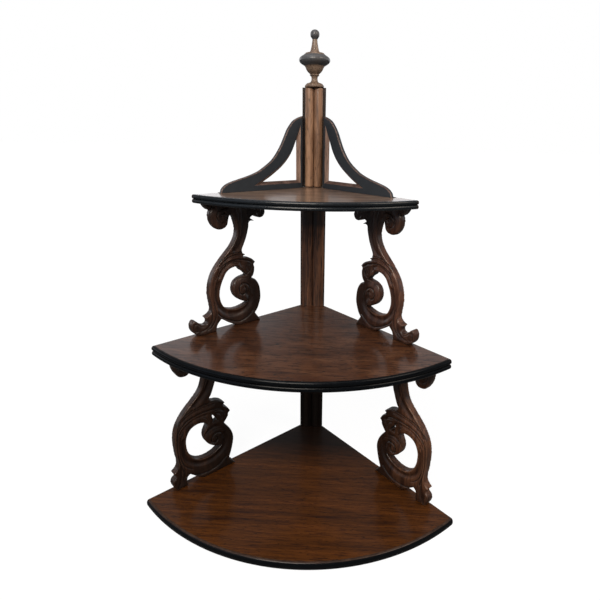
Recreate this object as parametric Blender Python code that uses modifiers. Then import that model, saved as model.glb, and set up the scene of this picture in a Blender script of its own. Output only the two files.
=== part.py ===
"""A three tier corner whatnot: bow fronted shelves, reeded post, scroll supports, gallery and finial.

Metres, +Z up. The open, bowed side faces -Y. The corner of the room is behind the post, and its two
walls run from there to the left and to the right at 45 degrees to the front. Pieces that stand along
a wall are placed by three lengths: along the wall from the corner, inward from it, and up.
"""

import math
from dataclasses import dataclass

import bmesh
import bpy
from mathutils import Matrix, Vector

# Fits shared by all pieces
JOINT_GAP = 0.0003
CUT_OVERRUN = 0.010
CORNER = True
SIDES = {"left": -1, "right": 1}

# Shelves
BOTTOM_BACK_EDGE = 0.430
MIDDLE_BACK_EDGE = 0.3915
TOP_BACK_EDGE = 0.293
BOTTOM_BOW = 0.1195
MIDDLE_BOW = 0.106
TOP_BOW = 0.0625
BOTTOM_THICKNESS = 0.016
MIDDLE_THICKNESS = 0.019
TOP_THICKNESS = 0.016
LOWER_BAY = 0.307
UPPER_BAY = 0.259
CORNER_CUT = 0.006
MOULDING_STRIP = 0.0015
MOULDING_BEAD = 0.0045
ARC_STEPS = 28
BEAD_STEPS = 5

# Corner post
POST_HALF_WIDTH = 0.028
UPPER_POST_HALF_WIDTH = 0.02475
UPPER_POST_LENGTH = 0.2035
REEDS = 2
REED_STRIP = 0.001
REED_GROOVE = 0.0004
LOWER_REED_WIDTH = 0.0255
LOWER_REED_DEPTH = 0.0055
UPPER_REED_WIDTH = 0.0185
UPPER_REED_DEPTH = 0.008
REED_STEPS = 8
POST_DOWEL_DIAMETER = 0.012
POST_DOWEL_SETBACK = 0.016
POST_DOWEL_DEPTH = 0.025
POST_DOWEL_SEAT = 0.010

# Finial
FINIAL_HEIGHT = 0.109
FINIAL_RADIUS = 0.032
FINIAL_BALL_RADIUS = 0.0093
FINIAL_SETBACK = 0.022
SPIGOT_DIAMETER = 0.010
SPIGOT_LENGTH = 0.022
TURNING_STEPS = 28
BALL_STEPS = 7

# Scroll supports
SUPPORT_THICKNESS = 0.016
SUPPORT_SETBACK = 0.001
UPPER_SUPPORT_REACH = 0.149
UPPER_SUPPORT_SPAN = 0.1735
LOWER_SUPPORT_REACH = 0.1595
LOWER_SUPPORT_SPAN = 0.148
CURVE_RESOLUTION = 3

# Gallery brackets
GALLERY_THICKNESS = 0.0145
GALLERY_SETBACK = 0.001
GALLERY_LENGTH = 0.237
GALLERY_HEIGHT = 0.149

# Dowels of the supports and the gallery
DOWEL_DIAMETER = 0.006
SUPPORT_DOWEL_DEPTH = 0.012
SHELF_DOWEL_DEPTH = 0.008
GALLERY_DOWEL_DIAMETER = 0.005
GALLERY_DOWEL_DEPTH = 0.006
DOWEL_SIDES = 12
DOWEL_END_GAP = 0.001

# Finial profile from the base up: shares of its largest radius and of its height
FINIAL_PROFILE_SHARES = [
    (0.600, 0.000), (0.622, 0.034), (0.550, 0.055), (0.456, 0.073), (0.288, 0.089), (0.225, 0.113),
    (0.200, 0.153), (0.222, 0.203), (0.288, 0.233), (0.431, 0.272), (0.528, 0.312), (0.590, 0.352),
    (0.662, 0.381), (0.822, 0.410), (0.947, 0.441), (1.000, 0.481), (0.925, 0.520), (0.784, 0.550),
    (0.647, 0.575), (0.588, 0.597), (0.338, 0.615), (0.262, 0.649), (0.212, 0.717), (0.150, 0.817),
]

# Outline of an upper support, clockwise from the inner end of its cap: shares of its span and height
UPPER_OUTLINE_SHARES = [
    (0.017, 1.000, CORNER), (0.767, 1.000, CORNER), (0.767, 0.986, CORNER), (0.749, 0.969),
    (0.720, 0.953), (0.686, 0.945, CORNER), (0.699, 0.928), (0.703, 0.898), (0.692, 0.858),
    (0.646, 0.814), (0.588, 0.794), (0.530, 0.804), (0.499, 0.828), (0.487, 0.858), (0.473, 0.889),
    (0.447, 0.903), (0.421, 0.889), (0.403, 0.855), (0.388, 0.820), (0.380, 0.785), (0.386, 0.750),
    (0.403, 0.715), (0.455, 0.659), (0.536, 0.601), (0.611, 0.549), (0.686, 0.485), (0.734, 0.418),
    (0.759, 0.340), (0.759, 0.282), (0.746, 0.220), (0.744, 0.178), (0.767, 0.155),
    (0.830, 0.135, CORNER), (0.801, 0.104), (0.818, 0.081), (0.859, 0.079), (0.911, 0.104),
    (0.939, 0.122), (0.965, 0.129), (0.991, 0.112), (1.000, 0.081), (0.986, 0.046), (0.951, 0.019),
    (0.905, 0.000, CORNER), (0.695, 0.000, CORNER), (0.692, 0.027), (0.674, 0.058),
    (0.628, 0.091, CORNER), (0.588, 0.072), (0.530, 0.044), (0.473, 0.023), (0.409, 0.000, CORNER),
    (0.101, 0.000, CORNER), (0.138, 0.039), (0.173, 0.073, CORNER), (0.138, 0.101), (0.110, 0.143),
    (0.089, 0.193), (0.089, 0.240), (0.101, 0.294), (0.127, 0.333), (0.161, 0.360),
    (0.213, 0.377, CORNER), (0.190, 0.391), (0.170, 0.422), (0.164, 0.460), (0.173, 0.487),
    (0.150, 0.503, CORNER), (0.196, 0.534), (0.254, 0.551), (0.311, 0.563), (0.277, 0.576, CORNER),
    (0.317, 0.590, CORNER), (0.326, 0.615, CORNER), (0.320, 0.630), (0.300, 0.657), (0.262, 0.715),
    (0.231, 0.785), (0.216, 0.831), (0.147, 0.835, CORNER), (0.207, 0.860, CORNER),
    (0.156, 0.882, CORNER), (0.121, 0.866), (0.058, 0.855), (0.017, 0.870), (0.000, 0.901),
    (0.017, 0.932),
]
UPPER_EYE_SHARES = [
    (0.409, 0.491), (0.478, 0.485), (0.536, 0.460), (0.576, 0.418), (0.611, 0.367), (0.633, 0.309),
    (0.630, 0.255), (0.608, 0.209), (0.571, 0.176), (0.501, 0.155), (0.421, 0.149), (0.340, 0.157),
    (0.282, 0.170), (0.242, 0.186, CORNER), (0.288, 0.189), (0.340, 0.199), (0.412, 0.234),
    (0.448, 0.273), (0.457, 0.311), (0.436, 0.360), (0.375, 0.391), (0.317, 0.402),
    (0.271, 0.408, CORNER), (0.314, 0.439), (0.354, 0.458), (0.375, 0.480),
]

# Outline of a lower support, in the same order and in shares of its own span and height
LOWER_OUTLINE_SHARES = [
    (0.024, 1.000, CORNER), (0.970, 1.000, CORNER), (0.970, 0.988, CORNER), (0.949, 0.973),
    (0.916, 0.960), (0.872, 0.953, CORNER), (0.878, 0.933), (0.878, 0.911), (0.865, 0.881),
    (0.831, 0.847), (0.791, 0.822), (0.736, 0.813), (0.682, 0.819), (0.642, 0.842), (0.628, 0.875),
    (0.615, 0.904), (0.581, 0.915), (0.534, 0.907), (0.493, 0.881), (0.466, 0.842), (0.456, 0.805),
    (0.459, 0.770), (0.476, 0.734), (0.507, 0.690), (0.564, 0.649), (0.649, 0.609), (0.757, 0.560),
    (0.838, 0.511), (0.899, 0.454), (0.926, 0.388), (0.926, 0.323), (0.916, 0.258), (0.899, 0.201),
    (0.919, 0.163), (0.980, 0.137, CORNER), (0.943, 0.104), (0.983, 0.085), (1.000, 0.065),
    (0.993, 0.039), (0.953, 0.000, CORNER), (0.794, 0.000, CORNER), (0.794, 0.039), (0.784, 0.065),
    (0.750, 0.078, CORNER), (0.709, 0.062), (0.655, 0.038), (0.601, 0.020), (0.554, 0.000, CORNER),
    (0.034, 0.000, CORNER), (0.081, 0.029), (0.135, 0.059, CORNER), (0.091, 0.114), (0.057, 0.176),
    (0.047, 0.225), (0.071, 0.274), (0.122, 0.320), (0.189, 0.362, CORNER), (0.139, 0.392),
    (0.115, 0.411), (0.111, 0.428), (0.078, 0.442, CORNER), (0.128, 0.480), (0.189, 0.506),
    (0.159, 0.521, CORNER), (0.209, 0.545), (0.270, 0.560), (0.351, 0.571), (0.399, 0.596, CORNER),
    (0.358, 0.625), (0.311, 0.682), (0.280, 0.725), (0.260, 0.777), (0.250, 0.826), (0.253, 0.855),
    (0.176, 0.861, CORNER), (0.247, 0.881, CORNER), (0.189, 0.899, CORNER), (0.145, 0.888),
    (0.071, 0.876), (0.024, 0.889), (0.000, 0.915), (0.024, 0.942),
]
LOWER_EYE_SHARES = [
    (0.581, 0.437), (0.642, 0.432), (0.696, 0.418), (0.736, 0.393), (0.764, 0.357), (0.770, 0.321),
    (0.760, 0.273), (0.723, 0.224), (0.669, 0.188), (0.588, 0.163), (0.480, 0.155), (0.392, 0.162),
    (0.311, 0.178), (0.236, 0.201, CORNER), (0.304, 0.204), (0.385, 0.224), (0.459, 0.259),
    (0.498, 0.302), (0.500, 0.336), (0.476, 0.369), (0.439, 0.401, CORNER), (0.466, 0.416),
    (0.520, 0.432),
]
LOWER_LEAF_EYE_SHARES = [
    (0.280, 0.403, CORNER), (0.311, 0.429), (0.345, 0.455), (0.385, 0.480, CORNER),
    (0.365, 0.452), (0.355, 0.426), (0.361, 0.403, CORNER),
]

# Where the dowels stand along a support, foot and cap, as shares of its span
UPPER_FOOT_DOWEL_SHARES = (0.260, 0.800)
UPPER_CAP_DOWEL_SHARES = (0.110, 0.600)
LOWER_FOOT_DOWEL_SHARES = (0.260, 0.875)
LOWER_CAP_DOWEL_SHARES = (0.130, 0.740)

# Outline of a gallery bracket and its opening, as shares of its length and height
GALLERY_OUTLINE_SHARES = [
    (0.110, 1.000, CORNER), (0.135, 0.995), (0.194, 0.973), (0.266, 0.903), (0.325, 0.782),
    (0.363, 0.664), (0.409, 0.537), (0.481, 0.393), (0.582, 0.279), (0.696, 0.215), (0.797, 0.168),
    (0.890, 0.128), (0.954, 0.084), (0.987, 0.037), (1.000, 0.000, CORNER), (0.110, 0.000, CORNER),
]
GALLERY_OPENING_SHARES = [
    (0.228, 0.859, CORNER), (0.241, 0.799), (0.257, 0.711), (0.281, 0.604), (0.300, 0.537),
    (0.333, 0.460), (0.373, 0.389), (0.422, 0.322), (0.473, 0.265), (0.527, 0.211), (0.595, 0.151),
    (0.688, 0.070, CORNER), (0.228, 0.070, CORNER),
]
GALLERY_DOWEL_SHARES = (0.330, 0.820)

# Finishes: colour, roughness, metallic
MAHOGANY = ((0.115, 0.045, 0.022, 1.0), 0.35, 0.0)
EBONISED = ((0.012, 0.012, 0.014, 1.0), 0.30, 0.0)
ROSEWOOD = ((0.055, 0.025, 0.015, 1.0), 0.35, 0.0)
WALNUT = ((0.200, 0.100, 0.050, 1.0), 0.35, 0.0)
BEECH = ((0.500, 0.330, 0.180, 1.0), 0.60, 0.0)


@dataclass(frozen=True)
class Tier:
    """One shelf: its size, the height of its top face and the number of beads on its edge."""

    name: str
    back_edge: float
    bow: float
    thickness: float
    top: float
    beads: int

    @property
    def underside(self):
        return self.top - self.thickness

    @property
    def half_width(self):
        return self.back_edge / math.sqrt(2)

    @property
    def front_radius(self):
        return (self.half_width**2 + self.bow**2) / (2 * self.bow)

    @property
    def front_reach(self):
        return self.half_width + self.bow


@dataclass(frozen=True)
class Support:
    """The pattern of one tier's pair of supports and where it stands along the wall."""

    start: float
    span: float
    bottom: float
    height: float
    outline: list
    eyes: list
    foot_dowels: tuple
    cap_dowels: tuple


@dataclass(frozen=True)
class PostLength:
    """One length of the corner post, standing between two shelves or on the top one."""

    name: str
    half_width: float
    bottom: float
    top: float
    reed_width: float
    reed_depth: float


MIDDLE_TOP = BOTTOM_THICKNESS + LOWER_BAY + MIDDLE_THICKNESS
TOP_TOP = MIDDLE_TOP + UPPER_BAY + TOP_THICKNESS
BOTTOM = Tier("bottom", BOTTOM_BACK_EDGE, BOTTOM_BOW, BOTTOM_THICKNESS, BOTTOM_THICKNESS, 1)
MIDDLE = Tier("middle", MIDDLE_BACK_EDGE, MIDDLE_BOW, MIDDLE_THICKNESS, MIDDLE_TOP, 2)
TOP = Tier("top", TOP_BACK_EDGE, TOP_BOW, TOP_THICKNESS, TOP_TOP, 2)
TIERS = (BOTTOM, MIDDLE, TOP)

# The finial reaches back past the corner, and the bottom shelf's bow reaches furthest forward
CORNER_Y = (BOTTOM.front_reach - (FINIAL_RADIUS - FINIAL_SETBACK)) / 2

POSTS = (
    PostLength("lower_post", POST_HALF_WIDTH, BOTTOM.top + JOINT_GAP, MIDDLE.underside - JOINT_GAP,
               LOWER_REED_WIDTH, LOWER_REED_DEPTH),
    PostLength("middle_post", POST_HALF_WIDTH, MIDDLE.top + JOINT_GAP, TOP.underside - JOINT_GAP,
               LOWER_REED_WIDTH, LOWER_REED_DEPTH),
    PostLength("upper_post", UPPER_POST_HALF_WIDTH, TOP.top + JOINT_GAP, TOP.top + UPPER_POST_LENGTH,
               UPPER_REED_WIDTH, UPPER_REED_DEPTH),
)
LOWER_SUPPORT = Support(
    MIDDLE.back_edge - LOWER_SUPPORT_REACH, LOWER_SUPPORT_SPAN, BOTTOM.top + JOINT_GAP,
    LOWER_BAY - 2 * JOINT_GAP, LOWER_OUTLINE_SHARES, [LOWER_EYE_SHARES, LOWER_LEAF_EYE_SHARES],
    LOWER_FOOT_DOWEL_SHARES, LOWER_CAP_DOWEL_SHARES,
)
UPPER_SUPPORT = Support(
    TOP.back_edge - UPPER_SUPPORT_REACH, UPPER_SUPPORT_SPAN, MIDDLE.top + JOINT_GAP,
    UPPER_BAY - 2 * JOINT_GAP, UPPER_OUTLINE_SHARES, [UPPER_EYE_SHARES],
    UPPER_FOOT_DOWEL_SHARES, UPPER_CAP_DOWEL_SHARES,
)


# Scene and placing

def empty_scene():
    """Remove every object, so that the model starts from nothing."""
    for thing in list(bpy.data.objects):
        bpy.data.objects.remove(thing, do_unlink=True)


def new_collection(name):
    made = bpy.data.collections.new(name)
    bpy.context.scene.collection.children.link(made)
    return made


def wall_point(side, along, inward, up):
    """World place of a point given along a wall from the corner, inward from the wall, and up."""
    across = side * (along - inward) / math.sqrt(2)
    return Vector((across, CORNER_Y - (along + inward) / math.sqrt(2), up))


def wall_turn(side):
    """Rotation that stands a flat pattern up along a wall, its x along the wall and its y up."""
    about_z = math.radians(-45 if side > 0 else -135)
    return (math.radians(90), 0.0, about_z)


def principled(name, finish):
    colour, roughness, metallic = finish
    made = bpy.data.materials.new(name)
    made.use_nodes = True
    shader = made.node_tree.nodes["Principled BSDF"]
    shader.inputs["Base Color"].default_value = colour
    shader.inputs["Roughness"].default_value = roughness
    shader.inputs["Metallic"].default_value = metallic
    made.diffuse_color = colour
    return made


def add_part(name, mesh, finish):
    """Put a mesh into the model's collection under its node name, with a material of its own."""
    part = bpy.data.objects.new(name, mesh)
    parts.objects.link(part)
    if not mesh.materials:
        mesh.materials.append(principled(name + "_finish", finish))
    return part


def add_cutter(name, mesh):
    cutter = bpy.data.objects.new(name, mesh)
    cutters.objects.link(cutter)
    cutter.hide_render = True
    cutter.display_type = "WIRE"
    return cutter


def cut(part, cutter):
    """Take the cutter's shape out of a part."""
    modifier = part.modifiers.new(cutter.name, "BOOLEAN")
    modifier.operation = "DIFFERENCE"
    modifier.solver = "EXACT"
    modifier.object = cutter


def mesh_from(bm, name):
    mesh = bpy.data.meshes.new(name)
    bm.to_mesh(mesh)
    bm.free()
    return mesh


# Shapes

def add_spline(curve, points, smooth):
    """One closed outline: straight between its points, or flowing through all but its corners."""
    if not smooth:
        spline = curve.splines.new("POLY")
        spline.points.add(len(points) - 1)
        for control, (x, y) in zip(spline.points, points):
            control.co = (x, y, 0.0, 1.0)
        spline.use_cyclic_u = True
        return
    spline = curve.splines.new("BEZIER")
    spline.bezier_points.add(len(points) - 1)
    for control, point in zip(spline.bezier_points, points):
        control.co = (point[0], point[1], 0.0)
        kind = "VECTOR" if len(point) > 2 else "AUTO"
        control.handle_left_type = kind
        control.handle_right_type = kind
    spline.use_cyclic_u = True


def board_mesh(name, outlines, thickness, smooth=False):
    """A flat board sawn to its outlines, the first outside and the rest inside, centred on z."""
    curve = bpy.data.curves.new(name, "CURVE")
    curve.dimensions = "2D"
    curve.fill_mode = "BOTH"
    curve.resolution_u = CURVE_RESOLUTION
    curve.extrude = thickness / 2
    for outline in outlines:
        add_spline(curve, outline, smooth)
    holder = bpy.data.objects.new(name + "_curve", curve)
    parts.objects.link(holder)
    graph = bpy.context.evaluated_depsgraph_get()
    mesh = bpy.data.meshes.new_from_object(holder.evaluated_get(graph))
    bpy.data.objects.remove(holder, do_unlink=True)
    bm = bmesh.new()
    bm.from_mesh(mesh)
    bmesh.ops.remove_doubles(bm, verts=bm.verts, dist=JOINT_GAP / 30)
    bmesh.ops.recalc_face_normals(bm, faces=bm.faces)
    bm.to_mesh(mesh)
    bm.free()
    return mesh


def rods_mesh(name, places, diameter, length):
    """Upright round rods of one size, the middle of each at one of the places."""
    bm = bmesh.new()
    for place in places:
        bmesh.ops.create_cone(
            bm, cap_ends=True, segments=DOWEL_SIDES, radius1=diameter / 2,
            radius2=diameter / 2, depth=length, matrix=Matrix.Translation(place),
        )
    return mesh_from(bm, name)


def fit_dowels(label, places, diameter, length, bored):
    """Like dowels, each named and centred on its place, and bores for them in what they enter."""
    mesh = rods_mesh(label + "_dowel", [Vector()], diameter, length)
    for name, place in places.items():
        dowel = add_part(name, mesh, BEECH)
        dowel.location = place
    bore = diameter + 2 * JOINT_GAP
    hole = rods_mesh(label + "_bores", places.values(), bore, length + 2 * DOWEL_END_GAP)
    cutter = add_cutter(label + "_bores", hole)
    for piece in bored:
        cut(piece, cutter)


def scaled(shares, start, span, height):
    """An outline in shares made into lengths, with its corner marks kept."""
    return [(start + span * row[0], height * row[1], *row[2:]) for row in shares]


# Shelves

def front_points(tier, inset):
    """The bowed front from the right tip to the left one, drawn in by the inset, corner at zero."""
    radius = tier.front_radius - inset
    behind = tier.front_radius - tier.front_reach
    across = (math.sqrt(2 * radius**2 - behind**2) - behind) / 2
    sweep = math.atan2(across, across + behind)
    points = []
    for step in range(ARC_STEPS + 1):
        angle = sweep * (1 - 2 * step / ARC_STEPS)
        points.append((radius * math.sin(angle), behind - radius * math.cos(angle)))
    return points


def make_shelf(tier):
    """The board of one shelf, its corner cut off behind the post."""
    inset = MOULDING_STRIP + MOULDING_BEAD + JOINT_GAP
    outline = [(-CORNER_CUT, -CORNER_CUT), (CORNER_CUT, -CORNER_CUT), *front_points(tier, inset)]
    mesh = board_mesh(tier.name + "_shelf", [outline], tier.thickness)
    shelf = add_part(tier.name + "_shelf", mesh, MAHOGANY)
    shelf.location = (0.0, CORNER_Y, tier.top - tier.thickness / 2)
    return shelf


def bead_profile(tier):
    """Section of an edge moulding: a flat strip with one or two stacked beads on its front."""
    face = tier.front_radius - MOULDING_BEAD
    bead_height = tier.thickness / tier.beads
    points = [(face - MOULDING_STRIP, tier.top), (face - MOULDING_STRIP, tier.underside)]
    for bead in range(tier.beads):
        middle = tier.underside + bead_height * (bead + 0.5)
        first = 0 if bead == 0 else 1
        for step in range(first, BEAD_STEPS + 1):
            angle = math.pi * (step / BEAD_STEPS - 0.5)
            out = face + MOULDING_BEAD * math.cos(angle)
            points.append((out, middle + bead_height / 2 * math.sin(angle)))
    return points


def make_moulding(tier):
    """The moulding along one shelf's bowed front, its ends trimmed flush with the walls."""
    behind = tier.front_radius - tier.front_reach
    overrun = CUT_OVERRUN / tier.front_radius
    sweep = math.atan2(tier.half_width, tier.half_width + behind) + overrun
    bm = bmesh.new()
    corners = [bm.verts.new((radius, 0.0, up)) for radius, up in bead_profile(tier)]
    bm.faces.new(corners)
    bmesh.ops.rotate(bm, verts=bm.verts, matrix=Matrix.Rotation(-math.pi / 2 - sweep, 3, "Z"))
    bmesh.ops.spin(
        bm, geom=bm.verts[:] + bm.edges[:] + bm.faces[:], cent=(0.0, 0.0, 0.0),
        axis=(0.0, 0.0, 1.0), angle=2 * sweep, steps=ARC_STEPS,
    )
    bmesh.ops.recalc_face_normals(bm, faces=bm.faces)
    moulding = add_part(tier.name + "_moulding", mesh_from(bm, tier.name + "_moulding"), EBONISED)
    moulding.location = (0.0, CORNER_Y + behind, 0.0)
    for trim in wall_trims:
        cut(moulding, trim)


def make_wall_trims():
    """Cutters that fill the space of the two walls, each a block behind its wall's face."""
    length = BOTTOM_BACK_EDGE * 2
    height = 2 * TOP.top
    trims = []
    for name, side in SIDES.items():
        bm = bmesh.new()
        bmesh.ops.create_cube(bm, size=1.0)
        bmesh.ops.scale(bm, vec=(length, height, BOTTOM_BACK_EDGE), verts=bm.verts)
        trim = add_cutter(name + "_wall_trim", mesh_from(bm, name + "_wall_trim"))
        trim.location = wall_point(side, BOTTOM_BACK_EDGE / 2, -BOTTOM_BACK_EDGE / 2, TOP.top / 2)
        trim.rotation_euler = wall_turn(side)
        trims.append(trim)
    return trims


# Corner post and finial

def make_post(post):
    """One length of the post: a block that fills the corner, and the reeding on its front."""
    height = post.top - post.bottom
    middle = (post.top + post.bottom) / 2
    half = post.half_width
    block = [(-CORNER_CUT, -CORNER_CUT), (CORNER_CUT, -CORNER_CUT), (half, -half), (-half, -half)]
    body = add_part(post.name, board_mesh(post.name, [block], height), EBONISED)
    body.location = (0.0, CORNER_Y, middle)
    back = -half - JOINT_GAP
    width = REEDS * post.reed_width
    outline = [(-width / 2, back), (width / 2, back)]
    for reed in range(REEDS):
        across = width / 2 - post.reed_width * (reed + 0.5)
        first = 0 if reed == 0 else 1
        for step in range(first, REED_STEPS + 1):
            angle = math.pi * step / REED_STEPS
            out = back - REED_STRIP - post.reed_depth * math.sin(angle)
            if step == REED_STEPS and reed < REEDS - 1:
                out += REED_GROOVE
            outline.append((across + post.reed_width / 2 * math.cos(angle), out))
    name = post.name + "_reeding"
    reeding = add_part(name, board_mesh(name, [outline], height), WALNUT)
    reeding.location = (0.0, CORNER_Y, middle)
    return body, reeding


def make_post_dowels(bodies, shelves):
    """Dowels that run from each post length through or into the shelf below it."""
    for index, tier in enumerate(TIERS):
        low = tier.top - POST_DOWEL_SEAT if index == 0 else tier.underside - POST_DOWEL_DEPTH
        high = tier.top + POST_DOWEL_DEPTH
        place = Vector((0.0, CORNER_Y - POST_DOWEL_SETBACK, (low + high) / 2))
        bored = [shelves[index], *bodies[max(index - 1, 0):index + 1]]
        name = tier.name + "_post_dowel"
        fit_dowels(name, {name: place}, POST_DOWEL_DIAMETER, high - low, bored)


def finial_profile():
    """Radius and height of the turned finial from its top to the end of its spigot."""
    ball_middle = FINIAL_HEIGHT - FINIAL_BALL_RADIUS
    neck = FINIAL_RADIUS * FINIAL_PROFILE_SHARES[-1][0]
    lowest = -math.acos(neck / FINIAL_BALL_RADIUS)
    points = []
    for step in range(BALL_STEPS + 1):
        angle = math.pi / 2 + (lowest - math.pi / 2) * step / BALL_STEPS
        out = FINIAL_BALL_RADIUS * math.cos(angle) if step else 0.0
        points.append((out, ball_middle + FINIAL_BALL_RADIUS * math.sin(angle)))
    for radius_share, up_share in reversed(FINIAL_PROFILE_SHARES):
        points.append((FINIAL_RADIUS * radius_share, FINIAL_HEIGHT * up_share))
    points.append((SPIGOT_DIAMETER / 2, 0.0))
    points.append((SPIGOT_DIAMETER / 2, -SPIGOT_LENGTH))
    points.append((0.0, -SPIGOT_LENGTH))
    return points


def make_finial(upper_pieces):
    """The turned finial, its spigot let into the top of the upper post length."""
    bm = bmesh.new()
    rim = [bm.verts.new((radius, 0.0, up)) for radius, up in finial_profile()]
    for first, second in zip(rim, rim[1:]):
        bm.edges.new((first, second))
    finial = add_part("finial", mesh_from(bm, "finial"), WALNUT)
    seat = POSTS[-1].top + JOINT_GAP
    finial.location = (0.0, CORNER_Y - FINIAL_SETBACK, seat)
    turning = finial.modifiers.new("turning", "SCREW")
    turning.axis = "Z"
    turning.steps = TURNING_STEPS
    turning.render_steps = TURNING_STEPS
    turning.use_merge_vertices = True
    turning.merge_threshold = JOINT_GAP / 30
    bore = SPIGOT_DIAMETER + 2 * JOINT_GAP
    length = SPIGOT_LENGTH + DOWEL_END_GAP + CUT_OVERRUN
    middle = Vector((0.0, CORNER_Y - FINIAL_SETBACK, seat + CUT_OVERRUN - length / 2))
    cutter = add_cutter("spigot_bore", rods_mesh("spigot_bore", [middle], bore, length))
    for piece in upper_pieces:
        cut(piece, cutter)


# Supports and gallery

def make_supports(level, pattern, shelf_below, shelf_above):
    """A pair of scroll supports, one along each wall, with their dowels in the shelves."""
    lines = [scaled(pattern.outline, 0.0, pattern.span, pattern.height)]
    lines += [scaled(eye, 0.0, pattern.span, pattern.height) for eye in pattern.eyes]
    inward = SUPPORT_SETBACK + SUPPORT_THICKNESS / 2
    foot = pattern.bottom - JOINT_GAP
    cap = pattern.bottom + pattern.height + JOINT_GAP
    half_shift = (SUPPORT_DOWEL_DEPTH - SHELF_DOWEL_DEPTH) / 2
    foot_places = {}
    cap_places = {}
    supports = []
    for name, side in SIDES.items():
        label = level + "_" + name
        mesh = board_mesh(label + "_support", lines, SUPPORT_THICKNESS, True)
        support = add_part(label + "_support", mesh, ROSEWOOD)
        support.location = wall_point(side, pattern.start, inward, pattern.bottom)
        support.rotation_euler = wall_turn(side)
        supports.append(support)
        for end, share in zip(("inner", "outer"), pattern.foot_dowels):
            along = pattern.start + share * pattern.span
            place = wall_point(side, along, inward, foot + half_shift)
            foot_places[label + "_foot_dowel_" + end] = place
        for end, share in zip(("inner", "outer"), pattern.cap_dowels):
            along = pattern.start + share * pattern.span
            place = wall_point(side, along, inward, cap - half_shift)
            cap_places[label + "_cap_dowel_" + end] = place
    length = SUPPORT_DOWEL_DEPTH + SHELF_DOWEL_DEPTH
    for row, places, shelf in (("foot", foot_places, shelf_below), ("cap", cap_places, shelf_above)):
        fit_dowels(level + "_" + row, places, DOWEL_DIAMETER, length, [*supports, shelf])


def make_gallery(top_shelf):
    """The two pierced brackets that stand on the top shelf and lean against the upper post."""
    lines = [
        scaled(GALLERY_OUTLINE_SHARES, 0.0, GALLERY_LENGTH, GALLERY_HEIGHT),
        scaled(GALLERY_OPENING_SHARES, 0.0, GALLERY_LENGTH, GALLERY_HEIGHT),
    ]
    inward = GALLERY_SETBACK + GALLERY_THICKNESS / 2
    places = {}
    brackets = []
    for name, side in SIDES.items():
        label = name + "_gallery_bracket"
        bracket = add_part(label, board_mesh(label, lines, GALLERY_THICKNESS, True), EBONISED)
        bracket.location = wall_point(side, 0.0, inward, TOP.top + JOINT_GAP)
        bracket.rotation_euler = wall_turn(side)
        cut(bracket, post_room)
        brackets.append(bracket)
        for end, share in zip(("inner", "outer"), GALLERY_DOWEL_SHARES):
            place = wall_point(side, share * GALLERY_LENGTH, inward, TOP.top)
            places[name + "_gallery_dowel_" + end] = place
    length = 2 * GALLERY_DOWEL_DEPTH
    fit_dowels("gallery", places, GALLERY_DOWEL_DIAMETER, length, [*brackets, top_shelf])


def make_post_room():
    """Cutter that mitres the brackets' ends to the sides of the upper post."""
    half = UPPER_POST_HALF_WIDTH + JOINT_GAP
    bm = bmesh.new()
    bmesh.ops.create_cube(bm, size=1.0)
    depth = 2 * GALLERY_LENGTH
    height = GALLERY_HEIGHT + 2 * CUT_OVERRUN
    bmesh.ops.scale(bm, vec=(2 * half, depth, height), verts=bm.verts)
    room = add_cutter("upper_post_room", mesh_from(bm, "upper_post_room"))
    room.location = (0.0, CORNER_Y, TOP.top + GALLERY_HEIGHT / 2)
    return room


empty_scene()
parts = new_collection("corner_shelving_unit")
cutters = new_collection("cutters")
wall_trims = make_wall_trims()
post_room = make_post_room()

shelves = [make_shelf(tier) for tier in TIERS]
for tier in TIERS:
    make_moulding(tier)
post_pieces = [make_post(post) for post in POSTS]
make_post_dowels([body for body, reeding in post_pieces], shelves)
make_finial(post_pieces[-1])
make_supports("lower", LOWER_SUPPORT, shelves[0], shelves[1])
make_supports("upper", UPPER_SUPPORT, shelves[1], shelves[2])
make_gallery(shelves[2])
for part in parts.objects:
    for polygon in part.data.polygons:
        polygon.use_smooth = False
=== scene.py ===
"""Looks of a three tier corner whatnot: polished mahogany shelves with ebonised edges, carved
scroll supports, a reeded corner post, a pierced gallery and a turned finial.

Metres, +Z up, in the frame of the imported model. The bowed fronts face -Y and the room's corner is
behind the post. Carved lines are given in millimetres on the face of their board, along the wall
and up, and the supports' outlines in thousandths of the board's length and height.
"""

import logging
import math
from contextlib import contextmanager
from dataclasses import dataclass
from enum import Enum
from functools import partial
from typing import Any, Iterable, Iterator, Optional, Sequence

import bmesh
import bpy
import numpy as np
from mathutils import Matrix, Vector


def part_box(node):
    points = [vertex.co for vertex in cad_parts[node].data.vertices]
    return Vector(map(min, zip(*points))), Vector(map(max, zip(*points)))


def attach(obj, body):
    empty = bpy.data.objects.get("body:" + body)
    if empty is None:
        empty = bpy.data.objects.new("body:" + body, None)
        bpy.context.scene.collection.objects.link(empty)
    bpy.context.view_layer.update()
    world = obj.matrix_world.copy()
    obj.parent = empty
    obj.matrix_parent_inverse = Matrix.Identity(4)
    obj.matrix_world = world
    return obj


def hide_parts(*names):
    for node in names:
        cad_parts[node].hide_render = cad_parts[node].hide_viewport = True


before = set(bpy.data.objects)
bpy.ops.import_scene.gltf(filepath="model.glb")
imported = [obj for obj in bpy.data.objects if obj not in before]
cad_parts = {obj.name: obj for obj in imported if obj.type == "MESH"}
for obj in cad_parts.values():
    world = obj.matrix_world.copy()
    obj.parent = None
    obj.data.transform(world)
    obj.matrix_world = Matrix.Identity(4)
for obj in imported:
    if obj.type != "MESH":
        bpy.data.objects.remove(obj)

logging.basicConfig(level=logging.INFO, format="%(name)s: %(message)s")
log = logging.getLogger("corner_whatnot")

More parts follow.
